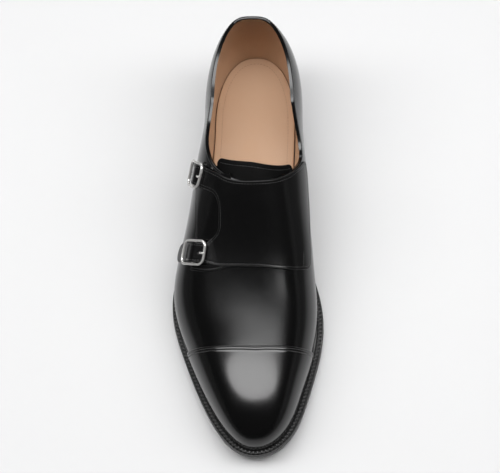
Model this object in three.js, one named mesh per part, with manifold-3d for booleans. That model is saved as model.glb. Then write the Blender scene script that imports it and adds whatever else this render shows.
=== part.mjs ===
// A right-foot, double-buckle monk strap shoe with a toe cap, in millimetres.
// +Z is up, the toe points to -Y and the big-toe side is +X. Stations along the upper
// run from its heel (0) to its toe (upperLength). The girth coordinate g runs from the
// lateral feather edge (-1) over the ridge of the instep (0) to the medial one (+1).
import * as THREE from 'three';
import { mergeVertices } from 'three/addons/utils/BufferGeometryUtils.js';
import Module from 'manifold-3d';

const wasm = await Module();
wasm.setup();

// Last
const upperLength = 291;
const heelMargin = 3;
const toeMargin = 6;
const soleLength = heelMargin + upperLength + toeMargin;
const heelEnd = soleLength / 2 - heelMargin;
const heelJoin = 0.20;
const heelRoundness = { atFeather: 2.25, above: 3.15, rise: 60 };
const toeStart = 0.58;
const toePlanPower = 1.9;
const toeHeightPower = 7;

// Thicknesses and gaps
const wall = 2.4;
const gap = 0.3;
const overlayGap = 0.5;
const flapGap = 0.8;
const outsoleThickness = 5.3;
const weltThickness = 3.0;
const insoleThickness = 5.4;
const toeCapThickness = 1.2;
const strapThickness = 1.5;
const tongueThickness = 1.8;
const tabThickness = 0.9;
const topLiftHeight = 6.0;
const featherAboveSole = outsoleThickness + weltThickness + 3 * gap;

// Seams and edges, as stations
const capAtRidge = 227.5;
const capAtFeather = 223;
const collarFoot = 140;

// Heel: where its breast stands and how far it is bowed, and how much the block is set in
// from the sole edge at the sole, above the top lift and at the floor
const heelBreast = 70;
const breastBow = 4;
const heelInset = { atSole: 0.2, aboveLift: 2.2, atFloor: 2.6 };

// Straps and buckles
const strapHalfWidth = 6.2;
const strapTip = 24;
const strapRoot = 9;
const tipRounding = 6;
const tipBluntness = 0.16;
const frameHalfLength = 9.85;
const frameHalfWidth = 7.65;
const frameCorner = 3.5;
const frameLift = 4.6;
const frameBar = { wide: 0.8, tall: 0.95 };
const centreBarLift = 2.5;
const centreBarRadius = 0.75;
const prongRadius = 0.6;
const prongHole = { from: 4.1, to: 7.4, half: 1.05, below: 1, above: 8 };
const tab = { from: -8, to: 2.5, half: 4.8 };

// Tongue, between two girth lengths from the ridge and two stations
const tongue = { lateral: -38, medial: 46, top: 111.5, topDrop: 6.5, corner: 6, bottom: 166 };

// Cross-sections of the last: half widths at the feather edge, how far the sides bulge
// beyond it, where the side turns over the top, and the height above the feather edge.
const sections = [
  { at: 0.20, axis: 0.0, featherLateral: 31.5, featherMedial: 31.5, bulgeLateral: 12.5, bulgeMedial: 12.5,
    sideHeight: 0.40, crownLateral: 0.62, crownMedial: 0.62, ridge: 0.0, height: 80.0 },
  { at: 0.32, axis: 0.0, featherLateral: 34.0, featherMedial: 30.5, bulgeLateral: 18.5, bulgeMedial: 21.5,
    sideHeight: 0.40, crownLateral: 0.64, crownMedial: 0.62, ridge: 1.0, height: 80.0 },
  { at: 0.42, axis: 0.2, featherLateral: 39.5, featherMedial: 29.5, bulgeLateral: 18, bulgeMedial: 27.5,
    sideHeight: 0.40, crownLateral: 0.65, crownMedial: 0.66, ridge: 2.0, height: 76.0 },
  { at: 0.52, axis: 0.8, featherLateral: 49.0, featherMedial: 33.5, bulgeLateral: 13.5, bulgeMedial: 23.5,
    sideHeight: 0.42, crownLateral: 0.64, crownMedial: 0.64, ridge: 3.0, height: 66.5 },
  { at: 0.60, axis: 1.5, featherLateral: 55.0, featherMedial: 39.0, bulgeLateral: 12, bulgeMedial: 14.5,
    sideHeight: 0.44, crownLateral: 0.62, crownMedial: 0.60, ridge: 3.5, height: 57.5 },
  { at: 0.68, axis: 2.1, featherLateral: 56.6, featherMedial: 43.5, bulgeLateral: 8.5, bulgeMedial: 8,
    sideHeight: 0.46, crownLateral: 0.60, crownMedial: 0.58, ridge: 3.5, height: 50.0 },
  { at: 0.78, axis: 2.6, featherLateral: 52.6, featherMedial: 44.0, bulgeLateral: 4, bulgeMedial: 4.5,
    sideHeight: 0.52, crownLateral: 0.61, crownMedial: 0.59, ridge: 2.5, height: 42.0 },
  { at: 0.90, axis: 3.2, featherLateral: 47.6, featherMedial: 43.9, bulgeLateral: 2, bulgeMedial: 2,
    sideHeight: 0.58, crownLateral: 0.64, crownMedial: 0.62, ridge: 0.8, height: 34.5 },
  { at: 1.00, axis: 2.9, featherLateral: 43.6, featherMedial: 51.2, bulgeLateral: 1, bulgeMedial: 1,
    sideHeight: 0.62, crownLateral: 0.66, crownMedial: 0.66, ridge: 0.0, height: 32.0 },
];

// Underside of the outsole: heel seat, arch, forefoot spot on the floor and toe spring.
// Distances run from the heel end of the sole; heights below 0 are cut off at the floor.
const soleProfile = [
  { from: 0, height: 24.6 },
  { from: 35, height: 24.3 },
  { from: 68, height: 22.6 },
  { from: 100, height: 16.6 },
  { from: 130, height: 8.4 },
  { from: 155, height: 2.6 },
  { from: 178, height: -0.2 },
  { from: 200, height: -0.45 },
  { from: 218, height: -0.1 },
  { from: 245, height: 1.9 },
  { from: 275, height: 6.2 },
  { from: 303, height: 11.5 },
];

// How far the heel's back curve stands behind the feather edge at each height above it
const backProfile = [
  { rise: 0, out: 0 },
  { rise: 12, out: 2.6 },
  { rise: 26, out: 3.6 },
  { rise: 45, out: 2.2 },
  { rise: 62, out: -0.8 },
  { rise: 84, out: -6.0 },
];

// Sole edge beyond the feather edge
const soleMargins = [
  { at: 0.00, lateral: heelMargin, medial: heelMargin },
  { at: 0.20, lateral: 3.0, medial: 3.0 },
  { at: 0.45, lateral: 3.4, medial: 3.6 },
  { at: 0.62, lateral: 4.2, medial: 5.4 },
  { at: 0.80, lateral: 4.8, medial: 5.8 },
  { at: 1.00, lateral: toeMargin, medial: toeMargin },
];

// Top line of the collar, from the middle of the heel to the front of the opening
const topLine = [
  { station: 0, lateral: 0.36, medial: 0.36 },
  { station: 24, lateral: 0.385, medial: 0.385 },
  { station: 50, lateral: 0.49, medial: 0.50 },
  { station: 74, lateral: 0.54, medial: 0.595 },
  { station: 94, lateral: 0.47, medial: 0.61 },
  { station: 109, lateral: 0.355, medial: 0.455 },
  { station: 119.5, lateral: 0.20, medial: 0.255 },
  { station: 125.2, lateral: 0, medial: 0 },
];

// The body of the monk flap: pairs of points on its cut-out edge and on its outer edge,
// each a station and a girth length from the ridge (minus is lateral). The line between a
// pair bows towards the toe by the last number.
const flapBody = [
  { cutStation: 155.5, cutGirth: -31.0, edgeStation: 174.2, edgeGirth: -26.0, bow: 0.0 },
  { cutStation: 154.2, cutGirth: -28.9, edgeStation: 176.0, edgeGirth: -6.0, bow: 1.0 },
  { cutStation: 152.8, cutGirth: -27.5, edgeStation: 176.2, edgeGirth: 14.0, bow: 1.0 },
  { cutStation: 151.2, cutGirth: -26.5, edgeStation: 173.6, edgeGirth: 33.0, bow: 0.0 },
  { cutStation: 149.4, cutGirth: -25.9, edgeStation: 168.2, edgeGirth: 46.0, bow: 0.0 },
  { cutStation: 147.2, cutGirth: -25.6, edgeStation: 148.0, edgeGirth: 51.5, bow: 3.0 },
  { cutStation: 145.0, cutGirth: -25.4, edgeStation: 122.0, edgeGirth: 58.5, bow: 8.0 },
  { cutStation: 142.2, cutGirth: -25.3, edgeStation: 98.5, edgeGirth: 57.0, bow: 12.0 },
  { cutStation: 138.4, cutGirth: -25.4, edgeStation: 106.5, edgeGirth: 42.5, bow: 12.0 },
  { cutStation: 134.8, cutGirth: -25.7, edgeStation: 115.8, edgeGirth: 28.0, bow: 9.0 },
  { cutStation: 131.8, cutGirth: -26.6, edgeStation: 122.2, edgeGirth: 12.5, bow: 6.0 },
  { cutStation: 129.2, cutGirth: -28.2, edgeStation: 124.2, edgeGirth: -3.0, bow: 3.0 },
  { cutStation: 127.0, cutGirth: -30.8, edgeStation: 121.6, edgeGirth: -15.5, bow: 1.0 },
  { cutStation: 125.2, cutGirth: -34.3, edgeStation: 115.8, edgeGirth: -26.2, bow: 0.0 },
];

// Each strap runs through its buckle's centre; lean is the stations it climbs for each
// millimetre of girth towards the body
const straps = {
  front: { station: 162.3, girth: -45.6, lean: 0.22 },
  rear: { station: 110.3, girth: -49.8, lean: 0.5 },
};

// Height of a strap's underside along it, from its tip over the centre bar to the body
const strapRise = [
  { along: -24, lift: 1.3 },
  { along: -10.8, lift: 1.5 },
  { along: -5, lift: 2.8 },
  { along: 0, lift: 3.6 },
  { along: 5, lift: 2.5 },
  { along: 10.8, lift: 1.1 },
  { along: 17, lift: flapGap },
];

// Colours
const blackLeather = { color: 0x111111, roughness: 0.22, metalness: 0 };
const soleEdgeBlack = { color: 0x1b1b1c, roughness: 0.45, metalness: 0 };
const liftRubber = { color: 0x161616, roughness: 0.7, metalness: 0 };
const tanLeather = { color: 0xc8a587, roughness: 0.6, metalness: 0 };
const polishedSteel = { color: 0xd9d9da, roughness: 0.12, metalness: 1 };

const clamp = THREE.MathUtils.clamp;
const lerp = THREE.MathUtils.lerp;

// Natural cubic spline through a table, held at its ends; an end slope may be given
function spline(rows, xKey, yKey, startSlope = null, endSlope = null) {
  const xs = rows.map((row) => row[xKey]);
  const ys = rows.map((row) => row[yKey]);
  const last = xs.length - 1;
  const step = (i) => xs[i + 1] - xs[i];
  const rise = (i) => (ys[i + 1] - ys[i]) / step(i);
  const upper = [];
  const bend = [];
  for (let i = 0; i <= last; i++) {
    let before = 0;
    let middle = 1;
    let after = 0;
    let right = 0;
    if (i > 0 && i < last) {
      before = step(i - 1);
      middle = 2 * (step(i - 1) + step(i));
      after = step(i);
      right = 3 * (rise(i) - rise(i - 1));
    } else if (i === 0 && startSlope !== null) {
      middle = 2;
      after = 1;
      right = (3 * (rise(0) - startSlope)) / step(0);
    } else if (i === last && endSlope !== null) {
      before = 1;
      middle = 2;
      right = (3 * (endSlope - rise(last - 1))) / step(last - 1);
    }
    const pivot = middle - before * (i > 0 ? upper[i - 1] : 0);
    upper[i] = after / pivot;
    bend[i] = (right - before * (i > 0 ? bend[i - 1] : 0)) / pivot;
  }
  for (let i = last - 1; i >= 0; i--) {
    bend[i] -= upper[i] * bend[i + 1];
  }
  return (value) => {
    const x = clamp(value, xs[0], xs[last]);
    let i = 0;
    while (i < last - 1 && x > xs[i + 1]) {
      i++;
    }
    const t = x - xs[i];
    const slope = rise(i) - (step(i) * (2 * bend[i] + bend[i + 1])) / 3;
    const twist = (bend[i + 1] - bend[i]) / (3 * step(i));
    return ys[i] + t * (slope + t * (bend[i] + t * twist));
  };
}

const lastColumn = (key) => spline(sections, 'at', key, 0);
const axis = lastColumn('axis');
const featherWidth = { [-1]: lastColumn('featherLateral'), 1: lastColumn('featherMedial') };
const bulge = { [-1]: lastColumn('bulgeLateral'), 1: lastColumn('bulgeMedial') };
const crown = { [-1]: lastColumn('crownLateral'), 1: lastColumn('crownMedial') };
const sideHeight = lastColumn('sideHeight');
const ridge = lastColumn('ridge');
const lastHeight = lastColumn('height');
const backCurve = spline(backProfile, 'rise', 'out');
const soleCurve = spline(soleProfile, 'from', 'height');
const strapLift = spline(strapRise, 'along', 'lift');
const soleMargin = {
  [-1]: spline(soleMargins, 'at', 'lateral', 0),
  1: spline(soleMargins, 'at', 'medial', 0),
};

const soleHeight = (y) => Math.max(0, soleCurve(soleLength / 2 - y));
const featherHeight = (station) => soleHeight(heelEnd - station) + featherAboveSole;

// One side of a cross-section: a cubic from the feather edge (t = 0) to the ridge (t = 1)
function sectionPoint(station, side, t) {
  const at = station / upperLength;
  const toe = clamp((at - toeStart) / (1 - toeStart), 0, 1);
  const narrowing = Math.sqrt(1 - toe ** toePlanPower);
  const lowering = Math.sqrt(1 - toe ** toeHeightPower);
  const foot = featherWidth[side](at) * narrowing;
  const out = foot + bulge[side](at) * narrowing;
  const top = ridge(at) * side * narrowing;
  const turn = top + crown[side](at) * (foot - top);
  const height = lastHeight(at) * lowering;
  const weights = [(1 - t) ** 3, 3 * t * (1 - t) ** 2, 3 * t * t * (1 - t), t ** 3];
  const across = weights[0] * foot + weights[1] * out + weights[2] * turn + weights[3] * top;
  const rise = weights[1] * sideHeight(at) * height + (weights[2] + weights[3]) * height;
  return { across: across * side, rise };
}

// Outer surface of the upper. Behind the join the sections sweep round the heel, and a
// negative station carries on round to the other side.
function lastPoint(station, g) {
  const s = Math.abs(station);
  const girth = station < 0 ? -g : g;
  const side = girth < 0 ? -1 : 1;
  const join = heelJoin * upperLength;
  const { across, rise } = sectionPoint(Math.max(s, join), side, 1 - Math.abs(girth));
  const turn = (clamp((join - s) / join, 0, 1) * Math.PI) / 2;
  const { atFeather, above } = heelRoundness;
  const roundness = lerp(atFeather, above, clamp(rise / heelRoundness.rise, 0, 1));
  const behind = Math.sin(turn) ** (2 / roundness);
  const inwards = Math.abs(Math.cos(turn)) ** (2 / roundness);
  const front = Math.max(s, join);
  const along = front - (join + backCurve(rise)) * behind;
  const x = axis(front / upperLength) + across * inwards;
  const floorStation = front - join * Math.sin(turn) ** (2 / atFeather);
  return new THREE.Vector3(x, heelEnd - along, featherHeight(floorStation) + rise);
}

function lastNormal(station, g) {
  const toToe = upperLength - Math.abs(station);
  if (toToe < 0.01) {
    return new THREE.Vector3(0, -1, 0);
  }
  const ds = Math.min(0.05, toToe / 3);
  const dg = 0.004;
  const inside = clamp(g, dg - 1, 1 - dg);
  const alongToe = lastPoint(station + ds, g).sub(lastPoint(station - ds, g));
  const acrossTop = lastPoint(station, inside + dg).sub(lastPoint(station, inside - dg));
  return alongToe.cross(acrossTop).normalize();
}

// A point lifted off the last; at the feather edge it stays level with that edge
function lifted(station, g, lift) {
  const girth = station === 0 ? Math.abs(g) : g;
  const foot = lastPoint(station, girth);
  const point = foot.clone().addScaledVector(lastNormal(station, girth), lift);
  if (Math.abs(girth) === 1) {
    point.z = foot.z;
  }
  return point;
}

// The girth coordinate at a length in millimetres from the ridge
const girthTables = new Map();
const girthSteps = 48;

function girthTable(station, side) {
  const key = `${station.toFixed(3)} ${side}`;
  if (!girthTables.has(key)) {
    const lengths = [0];
    let previous = lastPoint(station, 0);
    for (let i = 1; i <= girthSteps; i++) {
      const next = lastPoint(station, (side * i) / girthSteps);
      lengths.push(lengths[i - 1] + next.distanceTo(previous));
      previous = next;
    }
    girthTables.set(key, lengths);
  }
  return girthTables.get(key);
}

function girthAt(station, millimetres) {
  const side = millimetres < 0 ? -1 : 1;
  const lengths = girthTable(station, side);
  const wanted = Math.abs(millimetres);
  let i = 0;
  while (i < girthSteps - 1 && lengths[i + 1] < wanted) {
    i++;
  }
  const part = (wanted - lengths[i]) / (lengths[i + 1] - lengths[i]);
  return side * clamp((i + part) / girthSteps, 0, 1);
}

const liftedAt = (station, millimetres, lift) => lifted(station, girthAt(station, millimetres), lift);

// Triangles collected one by one, then joined into one closed, outward-facing body
class Skin {
  constructor() {
    this.corners = [];
  }

  triangle(a, b, c) {
    this.corners.push(...a, ...b, ...c);
  }

  quad(a, b, c, d) {
    if (a.distanceTo(c) <= b.distanceTo(d)) {
      this.triangle(a, b, c);
      this.triangle(a, c, d);
    } else {
      this.triangle(a, b, d);
      this.triangle(b, c, d);
    }
  }

  geometry() {
    const soup = new THREE.BufferGeometry();
    soup.setAttribute('position', new THREE.Float32BufferAttribute(this.corners, 3));
    const joined = mergeVertices(soup, 1e-3);
    const index = joined.getIndex().array;
    const kept = [];
    for (let i = 0; i < index.length; i += 3) {
      const [a, b, c] = index.slice(i, i + 3);
      if (a !== b && b !== c && c !== a) {
        kept.push(a, b, c);
      }
    }
    if (signedVolume(joined.getAttribute('position'), kept) < 0) {
      kept.reverse();
    }
    joined.setIndex(kept);
    return joined;
  }
}

function signedVolume(position, index) {
  const corner = (i) => new THREE.Vector3().fromBufferAttribute(position, index[i]);
  let volume = 0;
  for (let i = 0; i < index.length; i += 3) {
    volume += corner(i).dot(corner(i + 1).cross(corner(i + 2))) / 6;
  }
  return volume;
}

// A closed sheet between two grids of points that are indexed the same way
function thickSheet(outer, inner) {
  const skin = new Skin();
  const columns = outer.length - 1;
  const rows = outer[0].length - 1;
  for (let i = 0; i < columns; i++) {
    for (let j = 0; j < rows; j++) {
      skin.quad(outer[i][j], outer[i][j + 1], outer[i + 1][j + 1], outer[i + 1][j]);
      skin.quad(inner[i][j], inner[i + 1][j], inner[i + 1][j + 1], inner[i][j + 1]);
    }
    skin.quad(outer[i][0], outer[i + 1][0], inner[i + 1][0], inner[i][0]);
    skin.quad(outer[i][rows], inner[i][rows], inner[i + 1][rows], outer[i + 1][rows]);
  }
  for (let j = 0; j < rows; j++) {
    skin.quad(outer[0][j], inner[0][j], inner[0][j + 1], outer[0][j + 1]);
    skin.quad(outer[columns][j], outer[columns][j + 1], inner[columns][j + 1], inner[columns][j]);
  }
  return skin.geometry();
}

const grid = (columns, rows, pointOf) =>
  Array.from({ length: columns + 1 }, (_, i) => Array.from({ length: rows + 1 }, (__, j) => pointOf(i, j)));

function toManifold(geometry) {
  const vertProperties = new Float32Array(geometry.getAttribute('position').array);
  const triVerts = new Uint32Array(geometry.getIndex().array);
  return new wasm.Manifold(new wasm.Mesh({ numProp: 3, vertProperties, triVerts }));
}

function fromManifold(solid) {
  const mesh = solid.getMesh();
  const geometry = new THREE.BufferGeometry();
  geometry.setAttribute('position', new THREE.BufferAttribute(mesh.vertProperties, 3));
  geometry.setIndex(Array.from(mesh.triVerts));
  return geometry;
}

// Upper: columns of points from the feather edge to the collar's top line, and in front of
// the opening to the ridge
const collarColumns = 16;
const vampColumns = 11;
const toeColumns = 14;
const girthRows = 10;

function toeColumn(i) {
  const reach = Math.sin((i / toeColumns) * (Math.PI / 2));
  return {
    foot: lerp(capAtFeather, upperLength, reach),
    top: lerp(capAtRidge, upperLength, reach),
    lateral: 0,
    medial: 0,
  };
}

function upperColumns() {
  const knots = topLine.map((row, knot) => ({ ...row, knot }));
  const last = knots.length - 1;
  const station = spline(knots, 'knot', 'station', null, 0);
  const lateral = spline(knots, 'knot', 'lateral', 0);
  const medial = spline(knots, 'knot', 'medial', 0);
  const collarFront = topLine[last].station;
  const columns = [];
  for (let i = 0; i <= collarColumns; i++) {
    const knot = (i / collarColumns) * last;
    const foot = (i / collarColumns) * collarFoot;
    columns.push({ foot, top: station(knot), lateral: lateral(knot), medial: medial(knot) });
  }
  for (let i = 1; i < vampColumns; i++) {
    const part = i / vampColumns;
    const foot = lerp(collarFoot, capAtFeather, part);
    columns.push({ foot, top: lerp(collarFront, capAtRidge, part), lateral: 0, medial: 0 });
  }
  for (let i = 0; i <= toeColumns; i++) {
    columns.push(toeColumn(i));
  }
  return columns;
}

function columnPoint(column, side, part, lift) {
  const rim = side < 0 ? column.lateral : column.medial;
  return lifted(lerp(column.foot, column.top, part), side * lerp(1, rim, part), lift);
}

function upperGeometry() {
  const skin = new Skin();
  const columns = upperColumns();
  for (const side of [-1, 1]) {
    const sheet = (lift) =>
      grid(columns.length - 1, girthRows, (i, j) => columnPoint(columns[i], side, j / girthRows, lift));
    const outer = sheet(0);
    const inner = sheet(-wall);
    const turn = (a, b, c, d) => (side > 0 ? skin.quad(a, b, c, d) : skin.quad(d, c, b, a));
    for (let i = 0; i < columns.length - 1; i++) {
      for (let j = 0; j < girthRows; j++) {
        turn(outer[i][j], outer[i][j + 1], outer[i + 1][j + 1], outer[i + 1][j]);
        turn(inner[i][j], inner[i + 1][j], inner[i + 1][j + 1], inner[i][j + 1]);
      }
      turn(outer[i][0], outer[i + 1][0], inner[i + 1][0], inner[i][0]);
      if (i < collarColumns) {
        const top = girthRows;
        turn(outer[i][top], inner[i][top], inner[i + 1][top], outer[i + 1][top]);
      }
    }
  }
  return skin.geometry();
}

// Toe cap: the upper's own toe columns, lifted clear of it, from one feather edge to the other
function toeCapGeometry() {
  const sheet = (lift) =>
    grid(toeColumns, 2 * girthRows, (i, j) => {
      const side = j < girthRows ? -1 : 1;
      const part = 1 - Math.abs(j - girthRows) / girthRows;
      return columnPoint(toeColumn(i), side, part, lift);
    });
  return thickSheet(sheet(gap + toeCapThickness), sheet(gap));
}

// Tongue: lies inside the upper's wall and stands up behind the front of the collar
function tongueGeometry() {
  const columns = 14;
  const rows = 9;
  const middle = (tongue.lateral + tongue.medial) / 2;
  const half = (tongue.medial - tongue.lateral) / 2;
  const sheet = (lift) =>
    grid(columns, rows, (i, j) => {
      const out = Math.sin((i / columns - 0.5) * Math.PI);
      const corner = clamp((Math.abs(out) * half - (half - tongue.corner)) / tongue.corner, 0, 1);
      const rounding = tongue.corner * (1 - Math.sqrt(1 - corner ** 2));
      const top = tongue.top - tongue.topDrop * out ** 2 + rounding;
      return liftedAt(lerp(top, tongue.bottom, j / rows), middle + out * half, lift);
    });
  const outside = -wall - overlayGap;
  return thickSheet(sheet(outside), sheet(outside - tongueThickness));
}

// Coordinates on a strap: along it towards the body, across it towards the toe, and lift
function onStrap(strap, along, across) {
  const scale = Math.hypot(strap.lean, 1);
  return {
    station: strap.station + (along * strap.lean + across) / scale,
    girth: strap.girth + (along - across * strap.lean) / scale,
  };
}

function strapPoint(strap, along, across, lift) {
  const { station, girth } = onStrap(strap, along, across);
  return liftedAt(station, girth, lift);
}

// Monk flap: one C-shaped ribbon, from the front strap's tip round the cut-out in its
// lateral side to the rear strap's tip
function flapColumns() {
  const strapStops = [-24, -23.3, -21.9, -19.8, -16, -12, -9, -5, -2, 0, 3, 7];
  const strapColumn = (strap, along, towardsCut) => {
    const tip = clamp((-along - (strapTip - tipRounding)) / tipRounding, 0, 1);
    const half = strapHalfWidth * Math.max(Math.sqrt(1 - tip ** 2), tipBluntness);
    const cut = onStrap(strap, along, half * towardsCut);
    const edge = onStrap(strap, along, -half * towardsCut);
    return { cut, edge, bow: 0, lift: strapLift(along) };
  };
  const frontStrap = strapStops.map((along) => strapColumn(straps.front, along, -1));
  const rearStrap = strapStops.map((along) => strapColumn(straps.rear, along, 1)).reverse();

  const roots = [strapColumn(straps.front, strapRoot, -1), strapColumn(straps.rear, strapRoot, 1)];
  const body = flapBody.map((row) => ({
    cut: { station: row.cutStation, girth: row.cutGirth },
    edge: { station: row.edgeStation, girth: row.edgeGirth },
    bow: row.bow,
    lift: flapGap,
  }));
  const knots = [roots[0], ...body, roots[1]].map((row, knot) => ({ ...row, knot }));
  const bow = spline(knots, 'knot', 'bow');
  const curveOf = (key) =>
    new THREE.CatmullRomCurve3(
      knots.map((knot) => new THREE.Vector3(knot[key].station, knot[key].girth, knot.lift)),
      false,
      'centripetal',
    );
  const cutCurve = curveOf('cut');
  const edgeCurve = curveOf('edge');
  const bodyColumns = 2 * (knots.length - 1);
  const between = [];
  for (let i = 0; i <= bodyColumns; i++) {
    const cut = cutCurve.getPoint(i / bodyColumns);
    const edge = edgeCurve.getPoint(i / bodyColumns);
    between.push({
      cut: { station: cut.x, girth: cut.y },
      edge: { station: edge.x, girth: edge.y },
      bow: bow((i / bodyColumns) * (knots.length - 1)),
      lift: Math.max(cut.z, flapGap),
    });
  }
  return [...frontStrap, ...between, ...rearStrap];
}

function monkFlapGeometry() {
  const across = 9;
  const columns = flapColumns();
  const sheet = (thickness) =>
    grid(columns.length - 1, across, (i, j) => {
      const { cut, edge, bow, lift } = columns[i];
      const part = j / across;
      const station = lerp(cut.station, edge.station, part) + bow * 4 * part * (1 - part);
      return liftedAt(station, lerp(cut.girth, edge.girth, part), lift + thickness);
    });
  let flap = toManifold(thickSheet(sheet(strapThickness), sheet(0)));
  for (const strap of Object.values(straps)) {
    flap = flap.subtract(toManifold(prongHoleGeometry(strap)));
  }
  return fromManifold(flap);
}

// A slot through the strap for the prong
function prongHoleGeometry(strap) {
  const { from, to, half, below, above } = prongHole;
  const roundSteps = 6;
  const outline = [];
  for (let i = 0; i <= roundSteps; i++) {
    const angle = (i / roundSteps - 0.5) * Math.PI;
    outline.push([to - half + half * Math.cos(angle), half * Math.sin(angle)]);
  }
  for (let i = 0; i <= roundSteps; i++) {
    const angle = (i / roundSteps + 0.5) * Math.PI;
    outline.push([from + half + half * Math.cos(angle), half * Math.sin(angle)]);
  }
  const ring = (lift) => outline.map(([along, across]) => strapPoint(strap, along, across, lift));
  return prism(ring(below), ring(above));
}

// A closed body between two matching convex rings
function prism(bottom, top) {
  const skin = new Skin();
  const count = bottom.length;
  for (let i = 0; i < count; i++) {
    const next = (i + 1) % count;
    skin.quad(bottom[i], bottom[next], top[next], top[i]);
    if (i > 0 && next > 0) {
      skin.triangle(bottom[0], bottom[next], bottom[i]);
      skin.triangle(top[0], top[i], top[next]);
    }
  }
  return skin.geometry();
}

// A rod bent to the strap's surface: its path is in (along, across, lift), and its section
// is an ellipse whose tall axis follows the given direction
function rodGeometry(strap, path, closed, section, tallAxis) {
  const sides = 8;
  const count = path.length;
  const rings = path.map((point, i) => {
    const before = path[closed ? (i + count - 1) % count : Math.max(i - 1, 0)];
    const after = path[closed ? (i + 1) % count : Math.min(i + 1, count - 1)];
    const forward = after.clone().sub(before).normalize();
    const wideAxis = forward.clone().cross(tallAxis).normalize();
    const upright = wideAxis.clone().cross(forward);
    return Array.from({ length: sides }, (_, k) => {
      const angle = ((k + 0.5) / sides) * 2 * Math.PI;
      const local = point
        .clone()
        .addScaledVector(wideAxis, section.wide * Math.cos(angle))
        .addScaledVector(upright, section.tall * Math.sin(angle));
      return strapPoint(strap, local.x, local.y, local.z);
    });
  });
  const skin = new Skin();
  for (let i = 0; i < (closed ? count : count - 1); i++) {
    const next = (i + 1) % count;
    for (let k = 0; k < sides; k++) {
      const around = (k + 1) % sides;
      skin.quad(rings[i][k], rings[i][around], rings[next][around], rings[next][k]);
    }
  }
  if (!closed) {
    for (let k = 1; k < sides - 1; k++) {
      skin.triangle(rings[0][0], rings[0][k + 1], rings[0][k]);
      skin.triangle(rings[count - 1][0], rings[count - 1][k], rings[count - 1][k + 1]);
    }
  }
  return skin.geometry();
}

// Buckle frame: a rounded rectangle of bar, joined with the lowered bar across its middle
function buckleFrameGeometry(strap) {
  const cornerSteps = 4;
  const corners = [
    [1, 1],
    [-1, 1],
    [-1, -1],
    [1, -1],
  ];
  const loop = [];
  corners.forEach(([signAlong, signAcross], quarter) => {
    for (let i = 0; i <= cornerSteps; i++) {
      const angle = (quarter + i / cornerSteps) * (Math.PI / 2);
      const along = signAlong * (frameHalfLength - frameCorner) + frameCorner * Math.cos(angle);
      const across = signAcross * (frameHalfWidth - frameCorner) + frameCorner * Math.sin(angle);
      loop.push(new THREE.Vector3(along, across, frameLift));
    }
  });
  const halfBar = [
    [frameHalfWidth * 0.4, centreBarLift],
    [frameHalfWidth * 0.8, centreBarLift],
    [frameHalfWidth * 0.89, centreBarLift + 0.15],
    [frameHalfWidth * 0.95, lerp(centreBarLift, frameLift, 0.5)],
    [frameHalfWidth, frameLift],
  ];
  const bar = [
    ...halfBar.map(([across, lift]) => new THREE.Vector3(0, -across, lift)).reverse(),
    ...halfBar.map(([across, lift]) => new THREE.Vector3(0, across, lift)),
  ];
  const round = { wide: centreBarRadius, tall: centreBarRadius };
  const frame = rodGeometry(strap, loop, true, frameBar, new THREE.Vector3(0, 0, 1));
  const centreBar = rodGeometry(strap, bar, false, round, new THREE.Vector3(1, 0, 0));
  return fromManifold(toManifold(frame).add(toManifold(centreBar)));
}

// Prong: runs under the strap from the centre bar, comes up through the strap's hole and
// rests on the frame
function prongGeometry(strap) {
  const onFrame = frameLift + frameBar.tall + gap + prongRadius;
  const path = [
    [2.1, centreBarLift - 0.1],
    [3.6, centreBarLift - 0.5],
    [4.9, centreBarLift - 0.45],
    [5.9, centreBarLift + 0.75],
    [6.7, frameLift + 0.1],
    [7.6, onFrame - 0.6],
    [frameHalfLength - 0.8, onFrame],
    [frameHalfLength + 1, onFrame],
  ].map(([along, lift]) => new THREE.Vector3(along, 0, lift));
  const round = { wide: prongRadius, tall: prongRadius };
  return rodGeometry(strap, path, false, round, new THREE.Vector3(0, 1, 0));
}

// Tab: the leather that holds the centre bar, stitched down beside the buckle
function tabGeometry(strap) {
  const columns = 4;
  const rows = 2;
  const sheet = (lift) =>
    grid(columns, rows, (i, j) => {
      const along = lerp(tab.from, tab.to, i / columns);
      return strapPoint(strap, along, lerp(-tab.half, tab.half, j / rows), lift);
    });
  return thickSheet(sheet(overlayGap + tabThickness), sheet(overlayGap));
}

// Plan outline of the sole at a margin beyond the feather edge
function outlinePoint(station, side, margin) {
  const edge = lastPoint(station, side);
  if (station < 1e-6) {
    return new THREE.Vector2(edge.x, edge.y + margin);
  }
  if (station > upperLength - 1e-6) {
    return new THREE.Vector2(edge.x, edge.y - margin);
  }
  const step = Math.min(0.02, station / 3, (upperLength - station) / 3);
  const ahead = lastPoint(station + step, side);
  const behind = lastPoint(station - step, side);
  const along = new THREE.Vector2(ahead.x - behind.x, ahead.y - behind.y).normalize();
  return new THREE.Vector2(edge.x - side * along.y * margin, edge.y + side * along.x * margin);
}

function outlineStations() {
  const join = heelJoin * upperLength;
  const ball = toeStart * upperLength;
  const stations = [];
  for (let i = 0; i < 10; i++) {
    stations.push((join * i) / 10);
  }
  for (let i = 0; i < 9; i++) {
    stations.push(lerp(join, ball, i / 9));
  }
  for (let i = 0; i <= 16; i++) {
    stations.push(lerp(ball, upperLength, Math.sin((i / 16) * (Math.PI / 2))));
  }
  return stations;
}

const soleEdge = (station, side) => soleMargin[side](station / upperLength);

// A plate that fills the outline between two heights; each height follows Y
function plateGeometry(marginOf, bottomOf, topOf) {
  const stations = outlineStations();
  const across = 2;
  const level = (heightOf) =>
    grid(stations.length - 1, across, (i, j) => {
      const station = stations[i];
      const lateral = outlinePoint(station, -1, marginOf(station, -1));
      const medial = outlinePoint(station, 1, marginOf(station, 1));
      const plan = lateral.lerp(medial, j / across);
      return new THREE.Vector3(plan.x, plan.y, heightOf(plan.y));
    });
  return thickSheet(level(topOf), level(bottomOf));
}

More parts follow.
